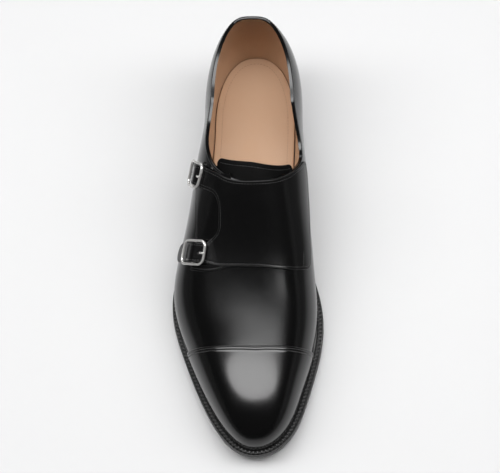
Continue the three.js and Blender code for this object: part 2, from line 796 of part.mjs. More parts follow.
// Welt: a flat ring between the insole and the sole edge
function weltGeometry() {
  const stations = outlineStations();
  const loop = (marginOf, height) => {
    const rim = (side) =>
      stations.map((station) => {
        const plan = outlinePoint(station, side, marginOf(station, side));
        return new THREE.Vector3(plan.x, plan.y, soleHeight(plan.y) + height);
      });
    return [...rim(-1), ...rim(1).slice(1, -1).reverse()];
  };
  const bottom = outsoleThickness + gap;
  const top = bottom + weltThickness;
  const inner = () => -wall - 0.1;
  const loops = [loop(soleEdge, bottom), loop(soleEdge, top), loop(inner, top), loop(inner, bottom)];
  const skin = new Skin();
  for (let k = 0; k < loops.length; k++) {
    const here = loops[k];
    const next = loops[(k + 1) % loops.length];
    for (let i = 0; i < here.length; i++) {
      const after = (i + 1) % here.length;
      skin.quad(here[i], here[after], next[after], next[i]);
    }
  }
  return skin.geometry();
}

// A slab of the heel, from its back to the bowed breast
function heelSlabGeometry(bottomMargin, bottomOf, topMargin, topOf) {
  const columns = 14;
  const across = 6;
  const level = (margin, heightOf) =>
    grid(columns, across, (i, j) => {
      const along = i / columns;
      const station = along * heelBreast;
      const lateral = outlinePoint(station, -1, margin);
      const medial = outlinePoint(station, 1, margin);
      const plan = lateral.lerp(medial, j / across);
      const bow = breastBow * along ** 4 * (1 - (2 * (j / across) - 1) ** 2);
      return new THREE.Vector3(plan.x, plan.y + bow, heightOf(plan.y + bow));
    });
  return thickSheet(level(topMargin, topOf), level(bottomMargin, bottomOf));
}

const outsoleTop = (y) => soleHeight(y) + outsoleThickness;
const insoleMargin = () => -wall - 0.1 - gap;
const insoleBottom = (y) => outsoleTop(y) + gap;
const insoleTop = (y) => insoleBottom(y) + insoleThickness;
const stackBottom = () => topLiftHeight + gap;
const stackTop = (y) => soleHeight(y) - gap;
const heelMarginAt = (height) => heelMargin - heelInset[height];
const heelStack = heelSlabGeometry(heelMarginAt('aboveLift'), stackBottom, heelMarginAt('atSole'), stackTop);
const liftTop = () => topLiftHeight;
const topLift = heelSlabGeometry(heelMarginAt('atFloor'), () => 0, heelMarginAt('aboveLift'), liftTop);

const pieces = [
  ['outsole', soleEdgeBlack, plateGeometry(soleEdge, soleHeight, outsoleTop)],
  ['welt', soleEdgeBlack, weltGeometry()],
  ['heel_stack', soleEdgeBlack, heelStack],
  ['top_lift', liftRubber, topLift],
  ['insole', tanLeather, plateGeometry(insoleMargin, insoleBottom, insoleTop)],
  ['upper', blackLeather, upperGeometry()],
  ['toe_cap', blackLeather, toeCapGeometry()],
  ['tongue', blackLeather, tongueGeometry()],
  ['monk_flap', blackLeather, monkFlapGeometry()],
];

for (const [name, strap] of Object.entries(straps)) {
  pieces.push([`${name}_buckle_frame`, polishedSteel, buckleFrameGeometry(strap)]);
  pieces.push([`${name}_buckle_prong`, polishedSteel, prongGeometry(strap)]);
  pieces.push([`${name}_buckle_tab`, blackLeather, tabGeometry(strap)]);
}

const group = new THREE.Group();
for (const [name, look, geometry] of pieces) {
  geometry.computeVertexNormals();
  const mesh = new THREE.Mesh(geometry, new THREE.MeshStandardMaterial(look));
  mesh.name = name;
  group.add(mesh);
}

// The shoe stands with the middle of its bounding box over the origin
const bounds = new THREE.Box3().setFromObject(group);
const middle = bounds.getCenter(new THREE.Vector3());
group.position.set(-middle.x, -middle.y, -bounds.min.z);

export default group;
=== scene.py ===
# Double monk strap shoe: the looks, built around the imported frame
import bpy
import math
import numpy as np
from mathutils import Matrix, Vector


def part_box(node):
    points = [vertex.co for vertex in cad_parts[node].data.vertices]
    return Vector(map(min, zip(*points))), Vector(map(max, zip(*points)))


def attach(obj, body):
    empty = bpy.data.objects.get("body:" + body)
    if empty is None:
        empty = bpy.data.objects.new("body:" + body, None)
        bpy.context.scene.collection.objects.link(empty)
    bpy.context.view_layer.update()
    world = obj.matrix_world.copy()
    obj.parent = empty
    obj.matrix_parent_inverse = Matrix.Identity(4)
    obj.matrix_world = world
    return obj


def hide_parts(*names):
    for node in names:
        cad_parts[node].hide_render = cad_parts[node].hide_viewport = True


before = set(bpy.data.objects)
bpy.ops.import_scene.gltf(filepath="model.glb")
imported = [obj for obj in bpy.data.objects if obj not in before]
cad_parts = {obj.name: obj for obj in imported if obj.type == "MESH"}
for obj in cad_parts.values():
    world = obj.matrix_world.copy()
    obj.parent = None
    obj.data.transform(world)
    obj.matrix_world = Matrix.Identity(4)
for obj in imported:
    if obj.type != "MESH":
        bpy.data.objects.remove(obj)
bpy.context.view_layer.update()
print("frame loaded:", len(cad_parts), "nodes")

# The last, in millimetres. Stations run from the upper's heel (0) to its toe; the girth
# coordinate g runs from the lateral feather edge (-1) over the ridge (0) to the medial one (1).
last = {
    "length": 291.0,
    "heelMargin": 3.0,
    "toeMargin": 6.0,
    "heelJoin": 0.20,
    "heelRoundness": 2.25,
    "topRoundness": 3.15,
    "roundnessRise": 60.0,
    "toeStart": 0.58,
    "toePlanPower": 1.9,
    "toeHeightPower": 7,
    "feather": 8.85,
    "easing": 1.2,
    "wall": 2.4,
    "at": [0.20, 0.32, 0.42, 0.52, 0.60, 0.68, 0.78, 0.90, 1.00],
    "axis": [0.0, 0.0, 0.2, 0.8, 1.5, 2.1, 2.6, 3.2, 2.9],
    "featherLateral": [31.5, 34.0, 39.5, 49.0, 55.0, 56.6, 52.6, 47.6, 43.6],
    "featherMedial": [31.5, 30.5, 29.5, 33.5, 39.0, 43.5, 44.0, 43.9, 51.2],
    "bulgeLateral": [12.5, 18.5, 18.0, 13.5, 12.0, 8.5, 4.0, 2.0, 1.0],
    "bulgeMedial": [12.5, 21.5, 27.5, 23.5, 14.5, 8.0, 4.5, 2.0, 1.0],
    "sideHeight": [0.40, 0.40, 0.40, 0.42, 0.44, 0.46, 0.52, 0.58, 0.62],
    "crownLateral": [0.62, 0.64, 0.65, 0.64, 0.62, 0.60, 0.61, 0.64, 0.66],
    "crownMedial": [0.62, 0.62, 0.66, 0.64, 0.60, 0.58, 0.59, 0.62, 0.66],
    "ridge": [0.0, 1.0, 2.0, 3.0, 3.5, 3.5, 2.5, 0.8, 0.0],
    "height": [80.0, 80.0, 76.0, 66.5, 57.5, 50.0, 42.0, 34.5, 32.0],
    "backRise": [0, 12, 26, 45, 62, 84],
    "backOut": [0, 2.6, 3.6, 2.2, -0.8, -6.0],
}
sole = {
    "from": [0, 35, 68, 100, 130, 155, 178, 200, 218, 245, 275, 303],
    "height": [24.6, 24.3, 22.6, 16.6, 8.4, 2.6, -0.2, -0.45, -0.1, 1.9, 6.2, 11.5],
    "marginAt": [0.00, 0.20, 0.45, 0.62, 0.80, 1.00],
    "marginLateral": [3.0, 3.0, 3.4, 4.2, 4.8, 6.0],
    "marginMedial": [3.0, 3.0, 3.6, 5.4, 5.8, 6.0],
    "thickness": 5.3,
}
topLine = {
    "station": [0, 24, 50, 74, 94, 109, 119.5, 125.2],
    "lateral": [0.36, 0.385, 0.49, 0.54, 0.47, 0.355, 0.20, 0],
    "medial": [0.36, 0.385, 0.50, 0.595, 0.61, 0.455, 0.255, 0],
    "collarFoot": 140.0,
}
soleLength = last["heelMargin"] + last["length"] + last["toeMargin"]
heelEnd = soleLength / 2 - last["heelMargin"]
joinStation = last["heelJoin"] * last["length"]
def together(*values):
    # the values as number arrays of one shape
    return np.broadcast_arrays(*[np.asarray(value, float) for value in values])
def spline(xs, ys, startSlope=None, endSlope=None):
    # cubic pieces with matching bends: natural at an end unless its slope is given
    xs, ys = np.asarray(xs, float), np.asarray(ys, float)
    step = np.diff(xs)
    rise = np.diff(ys) / step
    matrix = np.eye(len(xs))
    right = np.zeros(len(xs))
    for i in range(1, len(xs) - 1):
        matrix[i, i - 1:i + 2] = step[i - 1], 2 * (step[i - 1] + step[i]), step[i]
        right[i] = 3 * (rise[i] - rise[i - 1])
    if startSlope is not None:
        matrix[0, :2] = 2, 1
        right[0] = 3 * (rise[0] - startSlope) / step[0]
    if endSlope is not None:
        matrix[-1, -2:] = 1, 2
        right[-1] = 3 * (endSlope - rise[-1]) / step[-1]
    bend = np.linalg.solve(matrix, right)
    slope = rise - step * (2 * bend[:-1] + bend[1:]) / 3
    twist = np.diff(bend) / (3 * step)

    def value(x):
        x = np.clip(np.asarray(x, float), xs[0], xs[-1])
        i = np.clip(np.searchsorted(xs, x) - 1, 0, len(xs) - 2)
        t = x - xs[i]
        return ys[i] + t * (slope[i] + t * (bend[i] + t * twist[i]))

    return value


lastCurve = {key: spline(last["at"], last[key], 0.0) for key in (
    "axis", "featherLateral", "featherMedial", "bulgeLateral", "bulgeMedial",
    "sideHeight", "crownLateral", "crownMedial", "ridge", "height")}
backCurve = spline(last["backRise"], last["backOut"])
soleCurve = spline(sole["from"], sole["height"])
marginCurve = {side: spline(sole["marginAt"], sole[key], 0.0)
               for side, key in ((-1, "marginLateral"), (1, "marginMedial"))}


def soleHeight(y):
    return np.maximum(0.0, soleCurve(soleLength / 2 - y))


def featherHeight(station):
    # follows the sole, but turns gently from the flat of the ball into the toe spring
    height = soleCurve(soleLength / 2 - heelEnd + station)
    return 0.5 * (height + np.sqrt(height ** 2 + last["easing"] ** 2)) + last["feather"]


def lastPoint(station, g):
    # Cross-section at a station: a cubic from the feather edge to the ridge, narrowed to a
    # rounded toe in front and swept round the heel as a superellipse behind the join
    station, g = together(station, g)
    g = np.where(station < 0, -g, g)
    s = np.abs(station)
    side = np.where(g < 0, -1.0, 1.0)
    t = 1 - np.abs(g)
    front = np.maximum(s, joinStation)
    at = front / last["length"]
    toe = np.clip((at - last["toeStart"]) / (1 - last["toeStart"]), 0, 1)
    narrowing = np.sqrt(1 - toe ** last["toePlanPower"])
    lowering = np.sqrt(1 - toe ** last["toeHeightPower"])
    pick = {key: np.where(side < 0, lastCurve[key + "Lateral"](at), lastCurve[key + "Medial"](at))
            for key in ("feather", "bulge", "crown")}
    foot = pick["feather"] * narrowing
    out = foot + pick["bulge"] * narrowing
    top = lastCurve["ridge"](at) * side * narrowing
    turnOver = top + pick["crown"] * (foot - top)
    height = lastCurve["height"](at) * lowering
    w = [(1 - t) ** 3, 3 * t * (1 - t) ** 2, 3 * t * t * (1 - t), t ** 3]
    across = w[0] * foot + w[1] * out + w[2] * turnOver + w[3] * top
    rise = w[1] * lastCurve["sideHeight"](at) * height + (w[2] + w[3]) * height
    turn = np.clip((joinStation - s) / joinStation, 0, 1) * math.pi / 2
    roundness = last["heelRoundness"] + (last["topRoundness"] - last["heelRoundness"]) * np.clip(
        rise / last["roundnessRise"], 0, 1)
    behind = np.sin(turn) ** (2 / roundness)
    inwards = np.abs(np.cos(turn)) ** (2 / roundness)
    along = front - (joinStation + backCurve(rise)) * behind
    x = lastCurve["axis"](at) + across * side * inwards
    floorStation = front - joinStation * np.sin(turn) ** (2 / last["heelRoundness"])
    return np.stack([x, heelEnd - along, featherHeight(floorStation) + rise], -1)


def unit(v):
    return v / np.maximum(np.linalg.norm(v, axis=-1, keepdims=True), 1e-12)


def lastNormal(station, g):
    # cross product of the slopes along the shoe and across it; straight ahead at the toe's tip
    station, g = together(station, g)
    toToe = last["length"] - np.abs(station)
    ds = np.clip(toToe / 3, 1e-4, 0.05)
    s = np.where(toToe < 0.01, last["length"] - 0.02, station)
    dg = 0.004
    inside = np.clip(g, dg - 1, 1 - dg)
    n = unit(np.cross(lastPoint(s + ds, g) - lastPoint(s - ds, g),
                      lastPoint(s, inside + dg) - lastPoint(s, inside - dg)))
    return np.where((toToe < 0.01)[..., None], np.array([0.0, -1.0, 0.0]), n)


def lifted(station, g, lift):
    # a point off the last along its normal; at the feather edge it stays level with that edge
    station, g, lift = together(station, g, lift)
    g = np.where(station == 0, np.abs(g), g)
    foot = lastPoint(station, g)
    point = foot + lastNormal(station, g) * lift[..., None]
    point[..., 2] = np.where(np.abs(g) >= 1, foot[..., 2], point[..., 2])
    return point


girthSteps = 64
girthStations = np.linspace(0, last["length"], 292)
girthLengths = {}
for sideSign in (-1, 1):
    ribs = lastPoint(girthStations[:, None], sideSign * np.linspace(0, 1, girthSteps + 1)[None, :])
    pieces = np.linalg.norm(np.diff(ribs, axis=1), axis=-1)
    girthLengths[sideSign] = np.concatenate([np.zeros((len(ribs), 1)), np.cumsum(pieces, 1)], 1)


def girthAt(station, millimetres):
    # g at a girth length from the ridge, by looking the length up in the table of arc lengths
    station, millimetres = together(station, millimetres)
    shape = station.shape
    s, w = station.ravel(), millimetres.ravel()
    i = np.clip(np.searchsorted(girthStations, s) - 1, 0, len(girthStations) - 2)
    part = ((s - girthStations[i]) / (girthStations[i + 1] - girthStations[i]))[:, None]
    g = np.zeros(len(s))
    for sign in (-1, 1):
        mine = np.where(w < 0, -1, 1) == sign
        table = girthLengths[sign]
        rows = table[i[mine]] * (1 - part[mine]) + table[i[mine] + 1] * part[mine]
        wanted = np.abs(w[mine])
        k = np.clip((rows < wanted[:, None]).sum(1) - 1, 0, girthSteps - 1)
        low = np.take_along_axis(rows, k[:, None], 1)[:, 0]
        high = np.take_along_axis(rows, k[:, None] + 1, 1)[:, 0]
        g[mine] = sign * np.clip((k + (wanted - low) / np.maximum(high - low, 1e-9)) / girthSteps, 0, 1)
    return g.reshape(shape)


def onUpper(station, millimetres, lift):
    return lifted(station, girthAt(station, millimetres), lift)


def outline(station, side, margin):
    # the sole's plan: the feather edge moved outwards by the margin, square to its direction
    station, margin = together(station, margin)
    edge = lastPoint(station, side)
    step = np.clip(np.minimum(station, last["length"] - station) / 3, 1e-5, 0.02)
    inner = np.clip(station, 2e-5, last["length"] - 2e-5)
    along = unit(lastPoint(inner + step, side)[..., :2] - lastPoint(inner - step, side)[..., :2])
    normal = np.stack([-side * along[..., 1], side * along[..., 0]], -1)
    normal = np.where((station < 1e-4)[..., None], np.array([0.0, 1.0]), normal)
    normal = np.where((station > last["length"] - 1e-4)[..., None], np.array([0.0, -1.0]), normal)
    return edge[..., :2] + normal * margin[..., None]


def edgeMargin(station, side):
    return marginCurve[side](np.asarray(station, float) / last["length"])


# the frame's X and Y shift: the CAD outsole's box against the same outline worked out here
planStations = np.linspace(0, last["length"], 400)
plan = np.concatenate([outline(planStations, side, edgeMargin(planStations, side)) for side in (-1, 1)])
planMiddle = (plan.min(0) + plan.max(0)) / 2
soleLow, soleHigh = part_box("outsole")
frameShift = np.array([500 * (soleLow.x + soleHigh.x) - planMiddle[0],
                       500 * (soleLow.y + soleHigh.y) - planMiddle[1], 0.0])
print("last ready, shift", frameShift.round(3))


# Meshes from arrays
def gridTriangles(columns, rows, closed=False):
    # two triangles for each cell of a grid of columns x rows; closed joins the last row to the first
    i, j = np.meshgrid(np.arange(columns - 1), np.arange(rows if closed else rows - 1), indexing="ij")
    i, j = i.ravel(), j.ravel()
    after = (j + 1) % rows
    a, b = i * rows + j, i * rows + after
    c, d = (i + 1) * rows + after, (i + 1) * rows + j
    return np.concatenate([np.stack([a, b, c], 1), np.stack([a, c, d], 1)])


def loftLoops(loops, ring=False):
    # skin over loops of points; ends are closed by pairing each point with its opposite one
    columns, rows = loops.shape[:2]
    if ring:
        loops = np.concatenate([loops, loops[:1]])
        columns += 1
    triangles = [gridTriangles(columns, rows, closed=True)]
    if not ring:
        half = rows // 2
        k = np.arange(half - 1)
        for start, turned in ((0, False), ((columns - 1) * rows, True)):
            a, b = start + k, start + k + 1
            c, d = start + rows - 2 - k, start + rows - 1 - k
            cap = np.concatenate([np.stack([a, c, b], 1), np.stack([a, d, c], 1)])
            triangles.append(cap[:, ::-1] if turned else cap)
    return loops.reshape(-1, 3), np.concatenate(triangles)


def joinParts(parts):
    # several (points, triangles) as one
    offset = 0
    points, triangles = [], []
    for partPoints, partTriangles in parts:
        points.append(partPoints)
        triangles.append(partTriangles + offset)
        offset += len(partPoints)
    return np.concatenate(points), np.concatenate(triangles)


def addPiece(name, parts, material, nodes=(), sharp=50, weld=True):
    # parts is (points, triangles) or (points, triangles, nearness to a cut edge): merge equal
    # points, drop flat triangles, turn the skin outwards, and make the object
    points, triangles, *rest = parts
    values = rest[0] if rest else None
    if weld:
        _, first, same = np.unique(np.round(points * 2000).astype(np.int64), axis=0,
                                   return_index=True, return_inverse=True)
        triangles = same.reshape(-1)[triangles]
        points = points[first]
        values = None if values is None else np.asarray(values)[first]
    distinct = ((triangles[:, 0] != triangles[:, 1]) & (triangles[:, 1] != triangles[:, 2])
                & (triangles[:, 2] != triangles[:, 0]))
    triangles = triangles[distinct]
    a, b, c = (points[triangles[:, k]] for k in range(3))
    if np.einsum("ij,ij->i", a, np.cross(b, c)).sum() < 0:
        triangles = triangles[:, ::-1]
    place = (points + frameShift) / 1000
    mesh = bpy.data.meshes.new(name)
    mesh.vertices.add(len(place))
    mesh.vertices.foreach_set("co", place.astype(np.float32).ravel())
    mesh.loops.add(triangles.size)
    mesh.loops.foreach_set("vertex_index", triangles.astype(np.int32).ravel())
    mesh.polygons.add(len(triangles))
    mesh.polygons.foreach_set("loop_start", np.arange(0, triangles.size, 3, dtype=np.int32))
    mesh.polygons.foreach_set("use_smooth", np.ones(len(triangles), bool))
    mesh.update(calc_edges=True)
    mesh.validate()
    if sharp:
        mesh.set_sharp_from_angle(angle=math.radians(sharp))
    if values is not None:
        attribute = mesh.attributes.new("edge", "FLOAT", "POINT")
        attribute.data.foreach_set("value", np.asarray(values, np.float32))
    mesh.materials.append(material)
    piece = bpy.data.objects.new(name, mesh)
    bpy.context.scene.collection.objects.link(piece)
    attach(piece, "root")
    if nodes:
        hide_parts(*nodes)
    print("piece", name, len(triangles), "triangles")


def edgeDrop(distance, radius):
    # how far a rounded edge has fallen at a distance inside it: a quarter circle
    inside = np.clip(distance, 0, radius)
    return radius - np.sqrt(np.maximum(radius ** 2 - (radius - inside) ** 2, 0))


def marks(length, near, count):
    # places along a line: close together near both ends, even between them, as shares of its length
    length = np.asarray(length, float)[..., None]
    reach = np.minimum(1, length / (2.6 * near[-1])) * np.asarray(near)
    middle = np.linspace(0, 1, count + 2)[1:-1]
    low = reach / length
    inner = low[..., -1:] + (1 - 2 * low[..., -1:]) * middle
    return np.concatenate([low, inner, 1 - low[..., ::-1]], -1)


nearEdge = [0, 0.08, 0.2, 0.38, 0.6, 1.0, 1.5, 1.85, 2.2, 2.55, 2.9, 3.6]


def sheet(outer, inner, distance, spread=0.45):
    # leather between an outer and an inner face, with the nearness of each point to its cut edge
    edge = np.exp(-distance / spread)
    return (*loftLoops(np.concatenate([outer, inner[:, ::-1]], 1)),
            np.concatenate([edge, np.ones_like(edge)], 1).ravel())


def panel(station, girth, lift, thickness, radius, distance, groove=0.0, grooveAt=2.2, slots=0.0):
    # leather laid on the upper: it falls round its cut edge, with a sunk stitch line and slots
    sunk = groove * np.exp(-((distance - grooveAt) / 0.35) ** 2) + slots
    return sheet(onUpper(station, girth, lift + thickness - edgeDrop(distance, radius) - sunk),
                 onUpper(station, girth, lift), distance)


# Materials
def nodeGroup(name, inputs, outputs):
    group = bpy.data.node_groups.new(name, "ShaderNodeTree")
    for label, value in inputs:
        socket = group.interface.new_socket(name=label, in_out="INPUT", socket_type="NodeSocketFloat")
        socket.default_value = value
    for label in outputs:
        group.interface.new_socket(name=label, in_out="OUTPUT", socket_type="NodeSocketFloat")
    start = group.nodes.new("NodeGroupInput")
    end = group.nodes.new("NodeGroupOutput")
    return group, start.outputs, end.inputs


def addNode(tree, kind, settings=(), **inputs):
    made = tree.nodes.new(kind)
    for key, value in dict(settings).items():
        setattr(made, key, value)
    for key, value in inputs.items():
        numbered = key.startswith("in") and key[2:].isdigit()
        socket = made.inputs[int(key[2:]) if numbered else key.replace("_", " ")]
        if isinstance(value, bpy.types.NodeSocket):
            tree.links.new(value, socket)
        else:
            socket.default_value = value
    return made


def maths(tree, operation, a, b=0.0):
    return addNode(tree, "ShaderNodeMath", {"operation": operation}, in0=a, in1=b).outputs[0]
def objectPlace(tree):
    return addNode(tree, "ShaderNodeTexCoord").outputs["Object"]


def noise(tree, place, scale, **more):
    return addNode(tree, "ShaderNodeTexNoise", Vector=place, Scale=scale, **more).outputs["Fac"]


def grey(value):
    return (value, value, value)
def buildGrain():
    # leather grain: small pebbles from a cell pattern, crossed by finer creases and a few pores
    group, given, result = nodeGroup("leatherGrain", [("Scale", 1600.0), ("Pebble", 1.0), ("Crease", 0.5),
                                                      ("Broad", 0.5)], ["Height", "Pores"])
    place = objectPlace(group)
    pebble = addNode(group, "ShaderNodeTexVoronoi", {"feature": "SMOOTH_F1"}, Vector=place,
                     Scale=given["Scale"], Smoothness=0.6).outputs["Distance"]
    fine = noise(group, place, maths(group, "MULTIPLY", given["Scale"], 0.55), Detail=3.0, Roughness=0.6)
    broad = noise(group, place, maths(group, "MULTIPLY", given["Scale"], 0.02), Detail=2.0)
    a = maths(group, "MULTIPLY", pebble, maths(group, "MULTIPLY", given["Pebble"], -1.0))
    b = maths(group, "MULTIPLY", fine, given["Crease"])
    c = maths(group, "MULTIPLY", broad, given["Broad"])
    group.links.new(maths(group, "ADD", maths(group, "ADD", a, b), c), result["Height"])
    pores = addNode(group, "ShaderNodeMapRange", in0=pebble, in1=0.55, in2=0.9, in3=0.0, in4=1.0)
    group.links.new(pores.outputs[0], result["Pores"])
    return group


def buildWear():
    # slow cloudy change between two values, with finer smears over it
    group, given, result = nodeGroup("handWear", [("Scale", 30.0), ("Low", 0.2), ("High", 0.3)], ["Value"])
    cloud = noise(group, objectPlace(group), given["Scale"], Detail=5.0, Roughness=0.65)
    spread = addNode(group, "ShaderNodeMapRange", in0=cloud, in1=0.3, in2=0.7, in3=given["Low"],
                     in4=given["High"])
    group.links.new(spread.outputs[0], result["Value"])
    return group


def buildEdge():
    # cut edges: how strongly the edge attribute shows, broken up a little along its length
    group, given, result = nodeGroup("cutEdge", [("Strength", 1.0), ("Scale", 400.0)], ["Mask"])
    stored = addNode(group, "ShaderNodeAttribute", {"attribute_name": "edge"}).outputs["Fac"]
    broken = noise(group, objectPlace(group), given["Scale"], Detail=2.0)
    mask = maths(group, "MULTIPLY", maths(group, "MULTIPLY", stored, given["Strength"]),
                 maths(group, "ADD", broken, 0.5))
    group.links.new(maths(group, "MINIMUM", mask, 1.0), result["Mask"])
    return group


grainGroup, wearGroup, edgeGroup = buildGrain(), buildWear(), buildEdge()


def useGroup(tree, group, **inputs):
    made = tree.nodes.new("ShaderNodeGroup")
    made.node_tree = group
    for key, value in inputs.items():
        made.inputs[key].default_value = value
    return made


def material(name, metallic=0.0, coat=0.0, coatRoughness=0.1, sheen=0.0):
    made = bpy.data.materials.new(name)
    made.use_nodes = True
    shader = made.node_tree.nodes["Principled BSDF"]
    for label, value in (("Metallic", metallic), ("Coat Weight", coat), ("Coat Roughness", coatRoughness),
                         ("IOR", 1.5), ("Sheen Weight", sheen)):
        shader.inputs[label].default_value = value
    return made, made.node_tree, shader


def colourMix(tree, factor, *colours):
    first, second = (colour if isinstance(colour, bpy.types.NodeSocket) else (*colour, 1)
                     for colour in colours)
    return addNode(tree, "ShaderNodeMix", {"data_type": "RGBA"}, in0=factor, in6=first, in7=second).outputs[2]


def bumped(tree, shader, height, distance, strength):
    bump = addNode(tree, "ShaderNodeBump", Height=height, Distance=distance, Strength=strength)
    tree.links.new(bump.outputs["Normal"], shader.inputs["Normal"])


def leather(name, look):
    made, tree, shader = material(name, coat=look["coat"], coatRoughness=look["coatRoughness"])
    grain = useGroup(tree, grainGroup, Scale=look["grainScale"], Pebble=look["pebble"], Crease=look["crease"],
                     Broad=look["broad"])
    wear = useGroup(tree, wearGroup, Scale=look["wearScale"], Low=look["smooth"], High=look["rough"])
    edge = useGroup(tree, edgeGroup, Strength=look["edgeStrength"])
    tree.links.new(colourMix(tree, edge.outputs["Mask"], look["colour"], look["edgeColour"]),
                   shader.inputs["Base Color"])
    pored = maths(tree, "ADD", wear.outputs["Value"], maths(tree, "MULTIPLY", grain.outputs["Pores"], 0.06))
    tree.links.new(maths(tree, "ADD", pored, maths(tree, "MULTIPLY", edge.outputs["Mask"], 0.4)),
                   shader.inputs["Roughness"])
    # a cut edge is inked and stays dull
    shine = look.get("specular", 0.5)
    dulled = maths(tree, "MULTIPLY", edge.outputs["Mask"], -0.8 * shine)
    tree.links.new(maths(tree, "ADD", dulled, shine), shader.inputs["Specular IOR Level"])
    bumped(tree, shader, grain.outputs["Height"], look["bumpDistance"], look["bump"])
    return made


blackCalf = {"colour": (0.0022, 0.0022, 0.0023), "edgeColour": grey(0.012), "edgeStrength": 0.7,
             "coat": 0.15, "coatRoughness": 0.12, "grainScale": 1500.0, "pebble": 0.8, "crease": 0.6,
             "broad": 2.0,
             "wearScale": 28.0, "smooth": 0.12, "rough": 0.18, "bumpDistance": 0.0001, "bump": 0.08}
capLeather = leather("polishedCap", {**blackCalf, "smooth": 0.13, "rough": 0.17, "bump": 0.04, "coat": 0.3,
                                     "coatRoughness": 0.08})
vampLeather = leather("boxCalf", blackCalf)
flapLeather = leather("strapCalf", {**blackCalf, "smooth": 0.15, "rough": 0.21})
tongueLeather = leather("tongueCalf", {**blackCalf, "smooth": 0.4, "rough": 0.5, "coat": 0.0, "bump": 0.3,
                                       "specular": 0.06, "colour": grey(0.0035)})
liningLeather = leather("liningTan", {"colour": (0.50, 0.315, 0.195), "edgeColour": (0.36, 0.21, 0.12),
                                      "edgeStrength": 0.5, "coat": 0.0, "coatRoughness": 0.3,
                                      "grainScale": 1300.0, "pebble": 0.6, "crease": 1.0, "broad": 1.5,
                                      "wearScale": 45.0, "smooth": 0.5, "rough": 0.68, "bumpDistance": 0.0001,
                                      "bump": 0.35})
weltLeather = leather("weltBlack", {**blackCalf, "colour": grey(0.004), "smooth": 0.28, "rough": 0.4,
                                    "coat": 0.1, "bump": 0.3, "pebble": 0.4, "crease": 1.4})
soleLeather = leather("soleBlack", {**blackCalf, "colour": (0.012, 0.012, 0.0125), "smooth": 0.3,
                                    "rough": 0.42,
                                    "coat": 0.15, "coatRoughness": 0.25, "bump": 0.35, "crease": 1.4})
liftRubber = leather("liftRubber", {**blackCalf, "colour": grey(0.012), "smooth": 0.55, "rough": 0.7,
                                    "coat": 0.0, "bump": 0.6, "crease": 1.6})


def threadMaterial(name, dark, light):
    made, tree, shader = material(name, sheen=0.1)
    twist = addNode(tree, "ShaderNodeTexWave", Vector=objectPlace(tree), Scale=900.0,
                    Distortion=2.0).outputs["Fac"]
    tree.links.new(colourMix(tree, twist, dark, light), shader.inputs["Base Color"])
    wear = useGroup(tree, wearGroup, Scale=300.0, Low=0.24, High=0.4)
    tree.links.new(wear.outputs["Value"], shader.inputs["Roughness"])
    bumped(tree, shader, twist, 0.0001, 0.4)
    return made


def buckleMaterial():
    made, tree, shader = material("polishedBuckle", metallic=0.72)
    place = objectPlace(tree)
    tarnish = noise(tree, place, 160.0, Detail=4.0)
    silver = colourMix(tree, tarnish, (0.72, 0.71, 0.69), (0.84, 0.83, 0.81))
    tree.links.new(silver, shader.inputs["Base Color"])
    wear = useGroup(tree, wearGroup, Scale=420.0, Low=0.16, High=0.28)
    tree.links.new(wear.outputs["Value"], shader.inputs["Roughness"])
    bumped(tree, shader, noise(tree, place, 2600.0, Detail=2.0), 0.00002, 0.25)
    return made


thread = threadMaterial("waxedThread", grey(0.011), (0.045, 0.045, 0.044))
tanThread = threadMaterial("tanThread", (0.26, 0.15, 0.08), (0.42, 0.26, 0.15))
buckleMetal = buckleMaterial()
print("materials ready")


# Upper: a shell with its top line rounded, and the lining inside it
upper = {"collarColumns": 130, "vampColumns": 110, "toeColumns": 70, "rows": 46, "evenTo": 0.985,
         "rimRows": [0.990, 0.994, 0.997, 0.999, 1.0], "skin": 1.2, "liningGap": 0.05, "liningDrop": 0.02,
         "rim": 0.9, "liningRim": 0.4, "bindingDepth": 2.0, "bindingEase": 0.15,
         "capRidge": 227.5, "capFeather": 223.0}


def topLineCurve(count):
    knots = np.arange(len(topLine["station"]))
    place = np.linspace(0, knots[-1], count)
    station = spline(knots, topLine["station"], None, 0.0)(place)
    return station, {-1: spline(knots, topLine["lateral"], 0.0)(place),
                     1: spline(knots, topLine["medial"], 0.0)(place)}


def upperColumns(side):
    station, rims = topLineCurve(upper["collarColumns"] + 1)
    foot = np.linspace(0, topLine["collarFoot"], upper["collarColumns"] + 1)
    part = np.linspace(0, 1, upper["vampColumns"] + 1)[1:]
    reach = np.sin(np.linspace(0, math.pi / 2, upper["toeColumns"] + 1))[1:]
    length = last["length"]
    vampFoot = topLine["collarFoot"] + (upper["capFeather"] - topLine["collarFoot"]) * part
    vampTop = station[-1] + (upper["capRidge"] - station[-1]) * part
    toeFoot = upper["capFeather"] + (length - upper["capFeather"]) * reach
    toeTop = upper["capRidge"] + (length - upper["capRidge"]) * reach
    foot = np.concatenate([foot, vampFoot, toeFoot])
    top = np.concatenate([station, vampTop, toeTop])
    rim = np.concatenate([rims[side], np.zeros(len(part) + len(reach))])
    return foot, top, rim


def undulation(points):
    # the slight unevenness of lasted leather: slow waves of about a tenth of a millimetre
    x, y, z = points[..., 0], points[..., 1], points[..., 2]
    return 0.07 * np.sin(x / 11.0 + y / 17.0) * np.sin(y / 13.0 - z / 9.0) + 0.04 * np.sin(y / 6.5 + x / 19.0)


